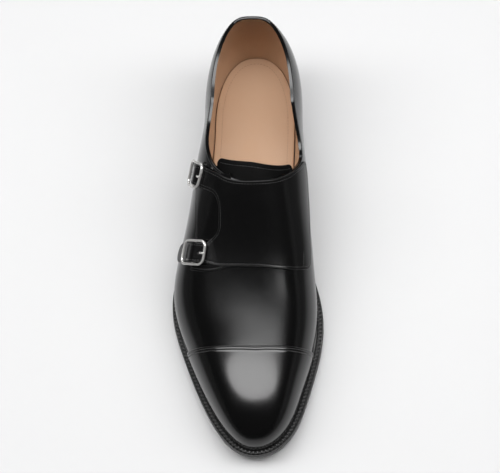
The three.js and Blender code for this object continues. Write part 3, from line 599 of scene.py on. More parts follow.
def shell(outerLift, innerLift, drop, binding=False):
    # both sides, outside and inside, joined along the feather edge and over the top line;
    # a binding fills the wall's whole thickness along that line
    innermost = -last["wall"]
    rowMarks = np.concatenate([np.linspace(0, upper["evenTo"], upper["rows"]), upper["rimRows"]]) * (1 - drop)
    rimStation, rims = topLineCurve(260)
    parts = []
    for side in (-1, 1):
        foot, top, rim = upperColumns(side)
        inCollar = (np.arange(len(foot)) < upper["collarColumns"])[:, None]
        part = np.where(inCollar, rowMarks[None, :], rowMarks[None, :] / (1 - drop))
        station = foot[:, None] + (top - foot)[:, None] * part
        g = side * (1 + (rim - 1)[:, None] * part)
        base = lastPoint(station, g)
        rimPoints = lastPoint(rimStation, side * rims[side])
        flat = base.reshape(-1, 3)
        distance = np.full(len(flat), 1e9)
        for k in range(0, len(rimPoints), 20):
            near = np.linalg.norm(flat[:, None] - rimPoints[None, k:k + 20], axis=-1).min(1)
            distance = np.minimum(distance, near)
        distance = distance.reshape(base.shape[:2])
        wave = undulation(base)
        depth = (distance - upper["bindingDepth"]) / upper["bindingEase"]
        bound = 1 / (1 + np.exp(depth)) if binding else 0.0
        fall = edgeDrop(distance, upper["rim"] if binding else upper["liningRim"])
        outer = lifted(station, g, outerLift - fall + wave)
        inner = lifted(station, g, innerLift + (innermost - innerLift) * bound + fall + wave)
        columns, rows = outer.shape[:2]
        cells = gridTriangles(columns, 2 * rows, closed=True)
        across = cells % (2 * rows)
        # in front of the collar both sides meet on the ridge, so nothing runs over the top
        overTop = ((across == rows - 1).any(1) & (across == rows).any(1)
                   & ((cells // (2 * rows)).min(1) >= upper["collarColumns"]))
        faces = np.concatenate([outer, inner[:, ::-1]], 1).reshape(-1, 3)
        triangles = cells[~overTop]
        parts.append((faces, triangles[:, ::-1] if side < 0 else triangles))
    return joinParts(parts)


addPiece("upper_leather", shell(0.0, -upper["skin"], 0.0, binding=True), vampLeather,
         ["upper"])
addPiece("upper_lining", shell(-upper["skin"] - upper["liningGap"], -last["wall"], upper["liningDrop"]),
         liningLeather)


# Toe cap: wraps from feather edge to feather edge, its straight edge rolled
cap = {"pitch": 1.75, "stitchLength": 1.5, "stitchRadius": 0.3, "slant": 0.3, "lift": 0.02,
       "thickness": 1.3, "radius": 0.7, "columns": 110, "rows": 150, "groove": 0.09,
       "rowAt": [1.5, 3.2], "grooveWidth": 0.42, "edgeSpread": 0.5,
       "near": [0, 0.08, 0.2, 0.4, 0.7, 0.95, 1.2, 1.5, 1.8, 2.05, 2.4, 2.7, 2.95, 3.2, 3.45, 3.7, 4.0]}


def capEdge(part):
    # station of a point on a column: part 0 at the feather edge, 1 at the ridge
    return upper["capFeather"] + (upper["capRidge"] - upper["capFeather"]) * part


def toeCap():
    g = np.linspace(-1, 1, 2 * (cap["rows"] // 2) + 1)
    start = capEdge(1 - np.abs(g))
    near = np.array(cap["near"])
    reach = np.sin(np.linspace(0, math.pi / 2, cap["columns"]))[1:]
    ahead = last["length"] - start - near[-1]
    stations = np.concatenate([start[None, :] + near[:, None],
                               start[None, :] + near[-1] + ahead[None, :] * reach[:, None]])
    g = np.broadcast_to(g, stations.shape)
    distance = stations - start[None, :]
    sunk = sum(cap["groove"] * np.exp(-((distance - at) / cap["grooveWidth"]) ** 2) for at in cap["rowAt"])
    wave = undulation(lastPoint(stations, g))
    top = cap["lift"] + cap["thickness"] - edgeDrop(distance, cap["radius"]) - sunk + wave
    return sheet(lifted(stations, g, top), lifted(stations, g, cap["lift"] + wave), distance, cap["edgeSpread"])


addPiece("toe_cap_leather", toeCap(), capLeather, ["toe_cap"])


# Straps: coordinates along a strap towards the body, across it towards the toe, and lift
straps = {
    "front": {"station": 162.3, "girth": -45.6, "lean": 0.22},
    "rear": {"station": 110.3, "girth": -49.8, "lean": 0.5},
}
strapShape = {"halfWidth": 6.2, "tip": 24.0, "tipRounding": 6.0, "root": 9.0,
              "along": [-24, -10.8, -5, 0, 5, 10.8, 17], "lift": [1.3, 1.5, 2.8, 3.6, 2.5, 1.1, 0.8],
              "hole": {"from": 4.1, "to": 7.4, "half": 1.0, "depth": 1.25}}
strapLift = spline(strapShape["along"], strapShape["lift"])


def onStrap(strap, along, across):
    scale = math.hypot(strap["lean"], 1)
    station = strap["station"] + (along * strap["lean"] + across) / scale
    girth = strap["girth"] + (along - across * strap["lean"]) / scale
    return station, girth


# Monk flap: a C-shaped ribbon round the cut-out, from the front strap's tip to the rear one's
flap = {
    "thickness": 1.3, "radius": 0.32, "lift": 0.3, "acrossColumns": 60, "bodyColumns": 300,
    "strapColumns": 90, "strapRoot": 7.0,
    "groove": 0.04, "inset": 1.8, "strapInset": 1.4,
    "cutStation": [155.5, 154.2, 152.8, 151.2, 149.4, 147.2, 145, 142.2,
                   138.4, 134.8, 131.8, 129.2, 127, 125.2],
    "cutGirth": [-31, -28.9, -27.5, -26.5, -25.9, -25.6, -25.4, -25.3,
                 -25.4, -25.7, -26.6, -28.2, -30.8, -34.3],
    "edgeStation": [174.2, 176, 176.2, 173.6, 168.2, 148, 122, 98.5,
                    106.5, 115.8, 122.2, 124.2, 121.6, 115.8],
    "edgeGirth": [-26, -6, 14, 33, 46, 51.5, 58.5, 57, 42.5, 28, 12.5, -3, -15.5, -26.2],
    "bow": [0, 1, 1, 0, 0, 3, 8, 12, 12, 9, 6, 3, 1, 0],
}


def smoothThrough(knots, count):
    # Catmull-Rom curve with square-root spacing: passes every knot without overshooting corners
    knots = np.asarray(knots, float)
    before = 2 * knots[0] - knots[1]
    after = 2 * knots[-1] - knots[-2]
    points = np.vstack([before, knots, after])
    place = np.linspace(0, len(knots) - 1, count)
    i = np.clip(place.astype(int), 0, len(knots) - 2)
    t = (place - i)[:, None]
    p = [points[i + k] for k in range(4)]
    gaps = [np.maximum(np.sqrt(np.linalg.norm(p[k + 1] - p[k], axis=1)), 1e-6)[:, None] for k in range(3)]
    first = ((p[1] - p[0]) / gaps[0] - (p[2] - p[0]) / (gaps[0] + gaps[1])
             + (p[2] - p[1]) / gaps[1]) * gaps[1]
    second = ((p[2] - p[1]) / gaps[1] - (p[3] - p[1]) / (gaps[1] + gaps[2])
              + (p[3] - p[2]) / gaps[2]) * gaps[1]
    return (p[1] + first * t + (3 * (p[2] - p[1]) - 2 * first - second) * t ** 2
            + (2 * (p[1] - p[2]) + first + second) * t ** 3)


def strapColumns(strap, towardsCut):
    tip = strapShape["tip"]
    rounding = strapShape["tipRounding"]
    arc = 1 - np.cos(np.linspace(0, math.pi / 2, 22))
    straight = np.linspace(rounding - tip, flap["strapRoot"], flap["strapColumns"])
    along = np.concatenate([-tip + rounding * arc, straight[1:]])
    share = np.clip((-along - (tip - rounding)) / rounding, 0, 1)
    half = strapShape["halfWidth"] * np.maximum(np.sqrt(1 - share ** 2), 0.03)
    cut = np.stack(onStrap(strap, along, half * towardsCut), 1)
    edge = np.stack(onStrap(strap, along, -half * towardsCut), 1)
    return cut, edge, strapLift(along), 0.0 * along


def flapColumns():
    frontCut, frontEdge, frontLift, frontBow = strapColumns(straps["front"], -1)
    rearCut, rearEdge, rearLift, rearBow = strapColumns(straps["rear"], 1)
    root, half = strapShape["root"], strapShape["halfWidth"]
    rootLift = float(strapLift(root))
    ends = [(straps["front"], -1), (straps["rear"], 1)]
    cutRoots, edgeRoots = ([(*onStrap(strap, root, sign * half * turned), rootLift) for strap, turned in ends]
                           for sign in (1, -1))
    lifts = [flap["lift"]] * len(flap["cutStation"])
    cutBody = list(zip(flap["cutStation"], flap["cutGirth"], lifts))
    edgeBody = list(zip(flap["edgeStation"], flap["edgeGirth"], lifts))
    cut = smoothThrough([cutRoots[0], *cutBody, cutRoots[1]], flap["bodyColumns"])
    edge = smoothThrough([edgeRoots[0], *edgeBody, edgeRoots[1]], flap["bodyColumns"])
    bows = [0, *flap["bow"], 0]
    bow = spline(np.arange(len(bows)), bows)(np.linspace(0, len(bows) - 1, flap["bodyColumns"]))
    return (np.concatenate([frontCut, cut[:, :2], rearCut[::-1]]),
            np.concatenate([frontEdge, edge[:, :2], rearEdge[::-1]]),
            np.concatenate([frontLift, np.maximum(cut[:, 2], flap["lift"]), rearLift[::-1]]),
            np.concatenate([frontBow, bow, rearBow]))


flapCut, flapEdge, flapLift, flapBow = flapColumns()
flapWidth = np.linalg.norm(flapEdge - flapCut, axis=1)


def flapAt(share):
    # station and girth at a share of the way from the cut-out edge to the outer edge
    place = flapCut[:, None] + (flapEdge - flapCut)[:, None] * share[..., None]
    return place[..., 0] + flapBow[:, None] * 4 * share * (1 - share), place[..., 1]


def edgeDistance(station, girth, loop):
    # distance from each place to a closed outline, by the segments beside its nearest corner
    places = np.stack([station.ravel(), girth.ravel()], 1)
    found = np.zeros(len(places))
    for start in range(0, len(places), 4000):
        part = places[start:start + 4000]
        nearest = ((part[:, None] - loop[None]) ** 2).sum(-1).argmin(1)
        best = np.full(len(part), 1e9)
        for step in (-1, 1):
            a, b = loop[nearest], loop[(nearest + step) % len(loop)]
            along = b - a
            t = np.clip(((part - a) * along).sum(1) / np.maximum((along ** 2).sum(1), 1e-12), 0, 1)
            best = np.minimum(best, np.linalg.norm(part - a - along * t[:, None], axis=1))
        found[start:start + 4000] = best
    return found.reshape(station.shape)


def offStrap(strap, station, girth):
    # the reverse of onStrap: along and across for a station and girth
    scale = math.hypot(strap["lean"], 1)
    away, up = station - strap["station"], girth - strap["girth"]
    return (away * strap["lean"] + up) / scale, (away - up * strap["lean"]) / scale


def strapDepth(station, girth):
    # how far the surface sinks in the slots that the prongs come up through
    hole = strapShape["hole"]
    sunk = 0.0
    for strap in straps.values():
        along, across = offStrap(strap, station, girth)
        beyond = along - np.clip(along, hole["from"] + hole["half"], hole["to"] - hole["half"])
        reach = np.hypot(beyond, across) / hole["half"]
        sunk = sunk + hole["depth"] / (1 + np.exp((reach - 0.9) / 0.06))
    return sunk


def onAStrap(station, girth):
    # 1 on the straps, falling to 0 where they have widened into the body
    found = 0.0
    for strap in straps.values():
        along, across = offStrap(strap, station, girth)
        found = found + (np.abs(across) < 9) / (1 + np.exp((along - 9) / 2.0))
    return np.clip(found, 0, 1)


def monkFlap():
    share = marks(flapWidth, nearEdge, flap["acrossColumns"])
    station, girth = flapAt(share)
    distance = edgeDistance(station, girth, np.concatenate([flapCut, flapEdge[::-1]]))
    inset = flap["inset"] + (flap["strapInset"] - flap["inset"]) * onAStrap(station, girth)
    lift = flapLift[:, None] + undulation(lastPoint(station, girthAt(station, girth)))
    return panel(station, girth, lift, flap["thickness"], flap["radius"], distance, flap["groove"], inset,
                 strapDepth(station, girth))


addPiece("monk_flap_leather", monkFlap(), flapLeather, ["monk_flap"])


# Facing: the thin piece under the flap that shows in the cut-out and below its front edge
facing = {"lift": 0.02, "thickness": 0.72, "radius": 0.3, "columns": 150, "rows": 60, "bow": 4.6,
          "frontReach": 60.0, "groove": 0.04,
          "lateral": [(112, -56.0), (119.3, -53.6), (135.3, -50.4), (151.2, -48.2), (163, -49.2),
                      (172.8, -51.3)],
          "medial": [(118, -16.0), (128, -14.0), (142, -12.0), (155, -10.5), (165, -10.0), (172.2, -9.5)]}
# painted shadow: a dark cord that stands in for the shade in the seam along the facing's lateral edge
paintedShadow = {"radius": 0.55, "flatness": 0.8, "lift": 0.25, "aside": 0.5, "steps": 160, "used": 130, "sides": 10,
          "taperSteps": 4}


def facingPiece():
    lateral, medial = (smoothThrough(facing[edge], facing["columns"]) for edge in ("lateral", "medial"))
    width = np.linalg.norm(medial - lateral, axis=1)
    share = marks(width, nearEdge, facing["rows"])
    along = np.linspace(0, 1, facing["columns"])[:, None]
    place = lateral[:, None] + (medial - lateral)[:, None] * share[..., None]
    station = place[..., 0] + facing["bow"] * np.sin(math.pi * share) * along ** 4
    distance = np.minimum(share * width[:, None], (1 - along) * facing["frontReach"])
    return panel(station, place[..., 1], facing["lift"], facing["thickness"], facing["radius"], distance,
                 facing["groove"])


def paintedShadowPiece():
    # painted shadow: a thin dark matte cord along the facing's lateral edge, standing in for the shade in the
    # seam's groove
    line = smoothThrough(facing["lateral"], paintedShadow["steps"])[:paintedShadow["used"]]
    angle = np.arange(paintedShadow["sides"]) / paintedShadow["sides"] * 2 * math.pi
    ending = np.clip(np.arange(paintedShadow["used"]) / paintedShadow["taperSteps"], 0, math.pi / 2)
    radius = paintedShadow["radius"] * np.sin(ending)
    girth = line[:, 1, None] - paintedShadow["aside"] + radius[:, None] * np.cos(angle)
    lift = paintedShadow["lift"] + paintedShadow["flatness"] * radius[:, None] * np.sin(angle)
    return loftLoops(onUpper(line[:, 0, None], girth, lift))


# the seam's shade, painted as a dark cord in the matte tongue leather
addPiece("seam_painted_shadow", paintedShadowPiece(), tongueLeather, sharp=0)
addPiece("facing_leather", facingPiece(), vampLeather)


# Tongue: leather outside, lined, its top corners rounded
tongue = {"lateral": -31.5, "medial": 42.0, "top": 113.0, "topDrop": 9.5, "corner": 6.0, "bottom": 166.0,
          "columns": 90, "rows": 60, "lift": -4.7, "thickness": 1.8, "radius": 0.6, "skinShare": 0.6,
          "gap": 0.05, "groove": 0.12, "grooveAt": 3.0}
tongueMiddle = (tongue["lateral"] + tongue["medial"]) / 2
tongueHalf = (tongue["medial"] - tongue["lateral"]) / 2


def tonguePiece(lift, thickness):
    out = np.sin(np.linspace(-math.pi / 2, math.pi / 2, tongue["columns"]))
    corner = np.clip((np.abs(out) * tongueHalf - (tongueHalf - tongue["corner"])) / tongue["corner"], 0, 1)
    top = tongue["top"] - tongue["topDrop"] * out ** 2 + tongue["corner"] * (1 - np.sqrt(1 - corner ** 2))
    length = tongue["bottom"] - top
    share = marks(length, nearEdge, tongue["rows"])
    station = top[:, None] + length[:, None] * share
    distance = np.minimum(share * length[:, None], (tongueHalf * (1 - np.abs(out)))[:, None])
    return panel(station, (tongueMiddle + out * tongueHalf)[:, None], lift, thickness, tongue["radius"],
                 distance, tongue["groove"], tongue["grooveAt"])


skinPart = tongue["thickness"] * tongue["skinShare"]
addPiece("tongue_leather", tonguePiece(tongue["lift"] + tongue["thickness"] - skinPart, skinPart),
         tongueLeather, ["tongue"])
addPiece("tongue_lining", tonguePiece(tongue["lift"], tongue["thickness"] - skinPart - tongue["gap"]),
         liningLeather)
print("upper ready")


# Buckles: a rounded-rectangle frame with a lowered centre bar, prong and leather tab
buckle = {"halfLength": 9.85, "halfWidth": 7.65, "corner": 3.7, "lift": 4.6, "wide": 0.82, "tall": 0.95,
          "cornerSteps": 14, "sideSteps": 16, "bow": 0.35, "barLift": 2.5, "barRadius": 0.75,
          "prongRadius": 0.62, "taperAt": [0, 0.7, 0.9, 0.97, 1], "taper": [0.8, 1, 1.15, 1.0, 0.5]}
tab = {"from": -8.0, "to": 2.5, "half": 4.8, "lift": 0.5, "thickness": 0.9, "radius": 0.3, "rows": 30}


def rod(strap, path, section, tallAxis, ring=False, sides=20, squareness=1.0, taper=None):
    # sweep an oval along a path given in strap coordinates, then lay it on the upper
    path = np.asarray(path, float)
    if ring:
        forward = unit(np.roll(path, -1, 0) - np.roll(path, 1, 0))
    else:
        forward = unit(np.gradient(path, axis=0))
    wideAxis = unit(np.cross(forward, np.asarray(tallAxis, float)))
    upright = np.cross(wideAxis, forward)
    angle = (np.arange(sides) + 0.5) / sides * 2 * math.pi
    c = np.sign(np.cos(angle)) * np.abs(np.cos(angle)) ** squareness
    s = np.sign(np.sin(angle)) * np.abs(np.sin(angle)) ** squareness
    scale = np.ones(len(path)) if taper is None else np.asarray(taper, float)
    local = (path[:, None] + wideAxis[:, None] * (section[0] * scale[:, None] * c)[..., None]
             + upright[:, None] * (section[1] * scale[:, None] * s)[..., None])
    station, girth = onStrap(strap, local[..., 0], local[..., 1])
    return loftLoops(onUpper(station, girth, local[..., 2]), ring)


def framePath():
    length, width, corner = buckle["halfLength"], buckle["halfWidth"], buckle["corner"]
    path = []
    for quarter, (signAlong, signAcross) in enumerate(((1, 1), (-1, 1), (-1, -1), (1, -1))):
        angle = (quarter + np.linspace(0, 1, buckle["cornerSteps"])) * math.pi / 2
        path.append(np.stack([signAlong * (length - corner) + corner * np.cos(angle),
                              signAcross * (width - corner) + corner * np.sin(angle)], 1))
    joined = []
    for k, part in enumerate(path):
        joined.append(part)
        following = path[(k + 1) % 4][0]
        share = np.linspace(0, 1, buckle["sideSteps"])[1:-1, None]
        joined.append(part[-1] + (following - part[-1]) * share)
    flat = np.concatenate(joined)
    bulge = buckle["bow"] * np.cos(flat[:, 1] / width * math.pi / 2) * (flat[:, 0] / length) ** 5
    return np.column_stack([flat[:, 0] + bulge, flat[:, 1], np.full(len(flat), buckle["lift"])])


def centreBar():
    across = buckle["halfWidth"] * np.array([0, 0.35, 0.62, 0.75, 0.83, 0.88, 0.93, 0.97, 1.0])
    rise = np.clip((across / buckle["halfWidth"] - 0.76) / 0.24, 0, 1) ** 1.6
    lift = buckle["barLift"] + (buckle["lift"] - buckle["barLift"]) * rise
    side = np.column_stack([np.zeros(len(across)), across, lift])
    return np.vstack([side[::-1] * [1, -1, 1], side[1:]])


def prongPath():
    # from the loop round the centre bar, up through the strap's hole, and onto the frame
    rest = buckle["lift"] + buckle["tall"] + buckle["prongRadius"] * 0.9
    knots = [(2.1, 0, 2.35), (3.6, 0, 2.0), (4.9, 0, 2.05), (5.8, 0, 3.2), (6.5, 0, 4.6),
             (7.5, 0, rest - 0.5),
             (9.0, 0, rest), (buckle["halfLength"] + 0.8, 0, rest - 0.1)]
    return smoothThrough(knots, 60)


def tabPiece(strap):
    along = np.linspace(tab["from"], tab["to"], tab["rows"])[:, None]
    across = (marks(np.full(tab["rows"], 2 * tab["half"]), nearEdge[:6], 12) * 2 - 1) * tab["half"]
    station, girth = onStrap(strap, along, across)
    ends = np.minimum(along - tab["from"], tab["to"] - along)
    return panel(station, girth, tab["lift"], tab["thickness"], tab["radius"],
                 np.minimum(tab["half"] - np.abs(across), ends))


for name, strap in straps.items():
    frameMesh = rod(strap, framePath(), (buckle["wide"], buckle["tall"]), (0, 0, 1), ring=True,
                    squareness=0.8)
    barMesh = rod(strap, centreBar(), (buckle["barRadius"],) * 2, (1, 0, 0))
    addPiece(name + "_buckle", joinParts([frameMesh, barMesh]), buckleMetal,
             [name + "_buckle_frame"], sharp=0)
    path = prongPath()
    taper = np.interp(np.linspace(0, 1, len(path)), buckle["taperAt"], buckle["taper"])
    prong = rod(strap, path, (buckle["prongRadius"],) * 2, (0, 1, 0), taper=taper, sides=16)
    addPiece(name + "_prong", prong, buckleMetal, [name + "_buckle_prong"], sharp=0)
    addPiece(name + "_tab_leather", tabPiece(strap), flapLeather, [name + "_buckle_tab"])
print("buckles ready")


# Sole: plates whose side profile runs from its middle down to the bottom and up to the top
def slab(stations, margin, height, lower, upper, across=14, bow=0.0):
    # each profile row is (level, inset): margin and height give its place at that level; the
    # front edge may bow towards the toe by a square law across it
    share = np.linspace(0, 1, across + 2)[1:-1]

    def edge(level, inset, side):
        return outline(stations, side, margin(stations, side, level) - inset)

    def row(level, inset, side):
        flat = edge(level, inset, side)
        return np.column_stack([flat, height(flat[:, 1], level)])[:, None]

    def floor(level, inset, side):
        start = edge(level, inset, side)
        flat = start[:, None] + (edge(level, inset, -side) - start)[:, None] * share[None, :, None]
        y = flat[..., 1] + bow * (stations[:, None] / stations[-1]) ** 4 * (1 - (2 * share[None, :] - 1) ** 2)
        return np.stack([flat[..., 0], y, height(y, level)], -1)

    rows = []
    for side, profile in ((-1, lower), (1, upper)):
        rows += [row(*entry, side) for entry in profile] + [floor(*profile[-1], side)]
        rows += [row(*entry, -side) for entry in profile[::-1]]
    return loftLoops(np.concatenate(rows, 1))


def soleStations(heelCount=90, middleCount=120, toeCount=110, firstStation=0.07):
    ball = last["toeStart"] * last["length"]
    heel = np.linspace(firstStation, joinStation, heelCount + 1)[:-1]
    middle = np.linspace(joinStation, ball, middleCount + 1)[:-1]
    toe = ball + (last["length"] - ball) * np.sin(np.linspace(0, math.pi / 2, toeCount))
    return np.concatenate([heel, middle, toe])


def aboveSole(y, level):
    return soleHeight(y) + level


outsole = {"lower": [(2.6, -0.1), (1.6, -0.06), (0.9, 0.05), (0.35, 0.3), (0.06, 0.75), (0.0, 1.4)],
           "upper": [(2.9, -0.1), (3.9, -0.06), (4.7, 0.0), (5.05, 0.12), (5.25, 0.3), (5.3, 0.7)]}
outsoleMesh = slab(soleStations(), lambda station, side, level: edgeMargin(station, side), aboveSole,
                   outsole["lower"], outsole["upper"])
addPiece("outsole_leather", outsoleMesh, soleLeather, ["outsole"], sharp=60)

sock = {"gap": 2.75, "top": 11.0, "lower": [(6.6, 0.0), (5.9, 0.1), (5.7, 0.4)],
        "upper": [(10.3, 0.0), (10.8, 0.15), (11.0, 0.6)]}
sockMesh = slab(soleStations(60, 80, 70), lambda station, side, level: -sock["gap"], aboveSole, sock["lower"],
                sock["upper"], across=30)
addPiece("sock_leather", sockMesh, liningLeather, ["insole"], sharp=60)

heel = {"breast": 70.0, "bow": 4.0, "liftHeight": 6.0, "layers": 4, "joint": 0.14, "columns": 90,
        "margins": (0.8, 2.8), "liftMargins": (0.4, 0.8), "liftGap": 0.2, "soleGap": 0.05,
        "lower": [(0.45, 0.0), (0.2, 0.0), (0.05, 0.05), (0.0, 0.22)],
        "upper": [(0.55, 0.0), (0.8, 0.0), (0.95, 0.05), (1.0, 0.22)]}


def heelLayer(bottom, top, taper):
    # bottom and top are height functions, taper the margins at them; the edges are eased
    return slab(heel["breast"] * np.linspace(0.001, 1, heel["columns"]),
                lambda station, side, level: taper[0] + (taper[1] - taper[0]) * level,
                lambda y, level: bottom(y) + (top(y) - bottom(y)) * level,
                heel["lower"], heel["upper"], across=10, bow=heel["bow"])


def layerHeight(part, offset):
    start = heel["liftHeight"] + heel["liftGap"]
    return lambda y: start + (soleHeight(y) - heel["soleGap"] - start) * part + offset


stackParts = []
for k in range(heel["layers"]):
    low, high = k / heel["layers"], (k + 1) / heel["layers"]
    taper = [heel["margins"][0] + (heel["margins"][1] - heel["margins"][0]) * share for share in (low, high)]
    bottom, top = layerHeight(low, heel["joint"] / 2), layerHeight(high, -heel["joint"] / 2)
    stackParts.append(heelLayer(bottom, top, taper))
addPiece("heel_layers", joinParts(stackParts), soleLeather, ["heel_stack"], sharp=60)
liftMesh = heelLayer(lambda y: 0.0 * y, lambda y: 0.0 * y + heel["liftHeight"], heel["liftMargins"])
addPiece("heel_lift", liftMesh, liftRubber, ["top_lift"], sharp=60)

# Welt: a ring with a channel beside the upper, pressed notches between its stitches
welt = {"bottom": 5.55, "pitch": 2.9, "count": 2600, "notch": 0.55, "stitchLength": 1.9, "stitchRadius": 0.5,
        "stitchShare": 0.60, "stitchHeight": 8.42, "bandHalf": 0.17, "inner": -2.4,
        "share": [-1, -0.1, 0.06, 0.16, 0.28, 0.36, 0.44, 0.52, 0.60, 0.68, 0.76, 0.84, 0.92, 0.97, 1.0],
        "height": [8.55, 8.5, 8.3, 8.1, 8.22, 8.42, 8.5, 8.52, 8.52, 8.5, 8.52, 8.6, 8.58, 8.45, 8.15],
        "under": [(1.015, 7.4), (1.01, 6.4), (0.985, 5.8), (0.95, 5.55), (0.4, 5.55), (-1, 5.55)]}


def ringStations():
    stations = soleStations(160, 260, 260)
    return np.concatenate([stations, stations[-2:0:-1]]), np.concatenate(
        [-np.ones(len(stations)), np.ones(len(stations) - 2)])


def ringAt(share):
    # plan loop at a share of the margin; share -1 is the inner rim under the upper
    station, side = ringStations()
    flat = np.zeros((len(station), 2))
    for sign in (-1, 1):
        mine = side == sign
        margin = welt["inner"] if share == -1 else edgeMargin(station[mine], sign) * share
        flat[mine] = outline(station[mine], sign, margin)
    return flat


def evenRing(count):
    # resample each loop so that steps along the stitch line are equal
    line = ringAt(welt["stitchShare"])
    steps = np.linalg.norm(np.roll(line, -1, 0) - line, axis=1)
    length = np.concatenate([[0], np.cumsum(steps)])
    wanted = np.arange(count) / count * length[-1]

    def at(share):
        flat = ringAt(share)
        flat = np.vstack([flat, flat[:1]])
        return np.column_stack([np.interp(wanted, length, flat[:, k]) for k in range(2)])

    return at, wanted, length[-1]


def weltPiece():
    at, place, total = evenRing(welt["count"])
    pitch = total / round(total / welt["pitch"])
    notch = (0.5 + 0.5 * np.cos(2 * math.pi * place / pitch)) ** 3
    rows = []
    for share, height in [*zip(welt["share"], welt["height"]), *welt["under"]]:
        flat = at(share)
        notched = len(rows) < len(welt["share"])
        inBand = math.exp(-((share - welt["stitchShare"]) / welt["bandHalf"]) ** 4) if notched else 0.0
        z = soleHeight(flat[:, 1]) + height - welt["notch"] * inBand * notch
        rows.append(np.column_stack([flat, z]))
    return loftLoops(np.stack(rows, 1), ring=True), at, pitch


weltMesh, weltLine, weltPitch = weltPiece()
addPiece("welt_leather", weltMesh, weltLeather, ["welt"], sharp=0)
print("sole ready")


# Stitches: small spindles of thread along a line
def stitchTemplate(rounds=6, steps=5):
    along = np.linspace(-1, 1, steps)
    radius = np.sqrt(np.maximum(1 - np.abs(along) ** 2.6, 0))
    angle = np.arange(rounds) / rounds * 2 * math.pi
    ring = np.stack([np.broadcast_to(along[:, None], (steps, rounds)), radius[:, None] * np.cos(angle),
                     radius[:, None] * np.sin(angle)], -1)
    return ring.reshape(-1, 3), gridTriangles(steps, rounds, closed=True)


stitchPoints, stitchTriangles = stitchTemplate()


def stitches(line, normals, pitch, length, radius, slant=0.0):
    # spindles set at equal steps along a line of points, lying along it and sunk by half
    steps = np.linalg.norm(np.diff(line, axis=0), axis=1)
    place = np.concatenate([[0], np.cumsum(steps)])
    count = max(int(place[-1] / pitch), 1)
    at = (np.arange(count) + 0.5) * place[-1] / count

    def sample(values, where):
        return np.column_stack([np.interp(where, place, values[:, k]) for k in range(3)])

    centre = sample(line, at)
    forward = unit(sample(line, at + 0.4) - sample(line, at - 0.4))
    normal = unit(sample(normals, at))
    sideways = unit(np.cross(normal, forward))
    forward = unit(forward + sideways * slant)
    sideways = unit(np.cross(normal, forward))
    normal = np.cross(forward, sideways)
    p = stitchPoints
    points = (centre[:, None] + forward[:, None] * (p[:, 0] * length / 2)[None, :, None]
              + sideways[:, None] * (p[:, 1] * radius)[None, :, None]
              + normal[:, None] * (p[:, 2] * radius)[None, :, None])
    triangles = stitchTriangles[None] + (np.arange(count) * len(p))[:, None, None]
    return points.reshape(-1, 3), triangles.reshape(-1, 3)


def upperLine(station, girth, lift):
    g = girthAt(station, girth)
    return lifted(station, g, lift), lastNormal(station, g)


def flapLine(curve, inwards):
    # the outline moved inwards, square to its direction, by the seam's inset; where the inset
    # line would turn back on itself its points are left out
    place = np.concatenate([[0], np.cumsum(np.linalg.norm(np.diff(curve, axis=0), axis=1))])
    even = np.arange(0, place[-1], 0.25)
    line = np.column_stack([np.interp(even, place, curve[:, k]) for k in range(2)])
    lift = np.interp(even, place, flapLift) + flap["thickness"] - flap["groove"] * 0.6
    direction = unit(np.gradient(line, axis=0))
    square = np.stack([direction[:, 1], -direction[:, 0]], 1) * inwards
    inset = flap["inset"] + (flap["strapInset"] - flap["inset"]) * onAStrap(line[:, 0], line[:, 1])
    moved = line + square * inset[:, None]
    clear = edgeDistance(moved[:, 0], moved[:, 1], np.concatenate([flapCut, flapEdge[::-1]]))
    keep = clear > inset - 0.12
    return upperLine(moved[keep, 0], moved[keep, 1], lift[keep])


seam = {"pitch": 2.0, "length": 1.45, "radius": 0.19, "edgeDistance": 2.6, "sideLength": 85.0,
        "facingInset": 1.8, "tongueInset": 3.0, "sink": 0.08}
bar = {"station": (160.5, 170.5), "girth": (38.6, 36.8), "pitch": 1.4, "length": 1.1, "radius": 0.2}
liningSeam = {"station": 70.0, "from": 0.64, "to": 0.95, "lean": 8, "pitch": 2.2, "length": 1.6,
              "radius": 0.2}
sockSeam = {"inset": 7.5, "pitch": 2.4, "length": 1.7, "radius": 0.22}
above = 0.02


def seamRow(line, normals):
    return stitches(line, normals, seam["pitch"], seam["length"], seam["radius"])


def levelRow(line, *shape):
    # stitches along a line that lies level, as on the sole
    return stitches(line, np.tile([0.0, 0.0, 1.0], (len(line), 1)), *shape)


rows = [seamRow(*flapLine(flapCut, 1)), seamRow(*flapLine(flapEdge, -1))]

# toe cap: two close rows
capG = np.linspace(-0.99, 0.99, 400)
for inset in cap["rowAt"]:
    station = capEdge(1 - np.abs(capG)) + inset
    lift = cap["lift"] + cap["thickness"] - cap["groove"] * 0.7
    rows.append(stitches(lifted(station, capG, lift), lastNormal(station, capG), cap["pitch"],
                         cap["stitchLength"], cap["stitchRadius"], cap["slant"]))

# top line: one row all round, below the rim
rimStation, rims = topLineCurve(300)
foot = np.linspace(0, topLine["collarFoot"], 300)
part = 1 - seam["edgeDistance"] / seam["sideLength"]
station = foot + (rimStation - foot) * part
for side in (-1, 1):
    g = side * (1 + (rims[side] - 1) * part)
    lift = undulation(lastPoint(station, g)) + above
    rows.append(seamRow(lifted(station, g, lift)[:290], lastNormal(station, g)[:290]))

# facing: along its lateral and front edges
lift = facing["lift"] + facing["thickness"]
lateral = smoothThrough(facing["lateral"], 200)[:190]
rows.append(seamRow(*upperLine(lateral[:, 0], lateral[:, 1] + seam["facingInset"], lift)))
share = np.linspace(0.04, 0.8, 120)
start, end = np.array(facing["lateral"][-1]), np.array(facing["medial"][-1])
front = start + (end - start) * share[:, None]
station = front[:, 0] + facing["bow"] * np.sin(math.pi * share) - seam["facingInset"]
rows.append(seamRow(*upperLine(station, front[:, 1], lift)))

# short bar of stitches beside the flap's front medial corner
barLine = upperLine(np.linspace(*bar["station"], 40), np.linspace(*bar["girth"], 40),
                    flap["lift"] + flap["thickness"])
rows.append(stitches(*barLine, bar["pitch"], bar["length"], bar["radius"]))

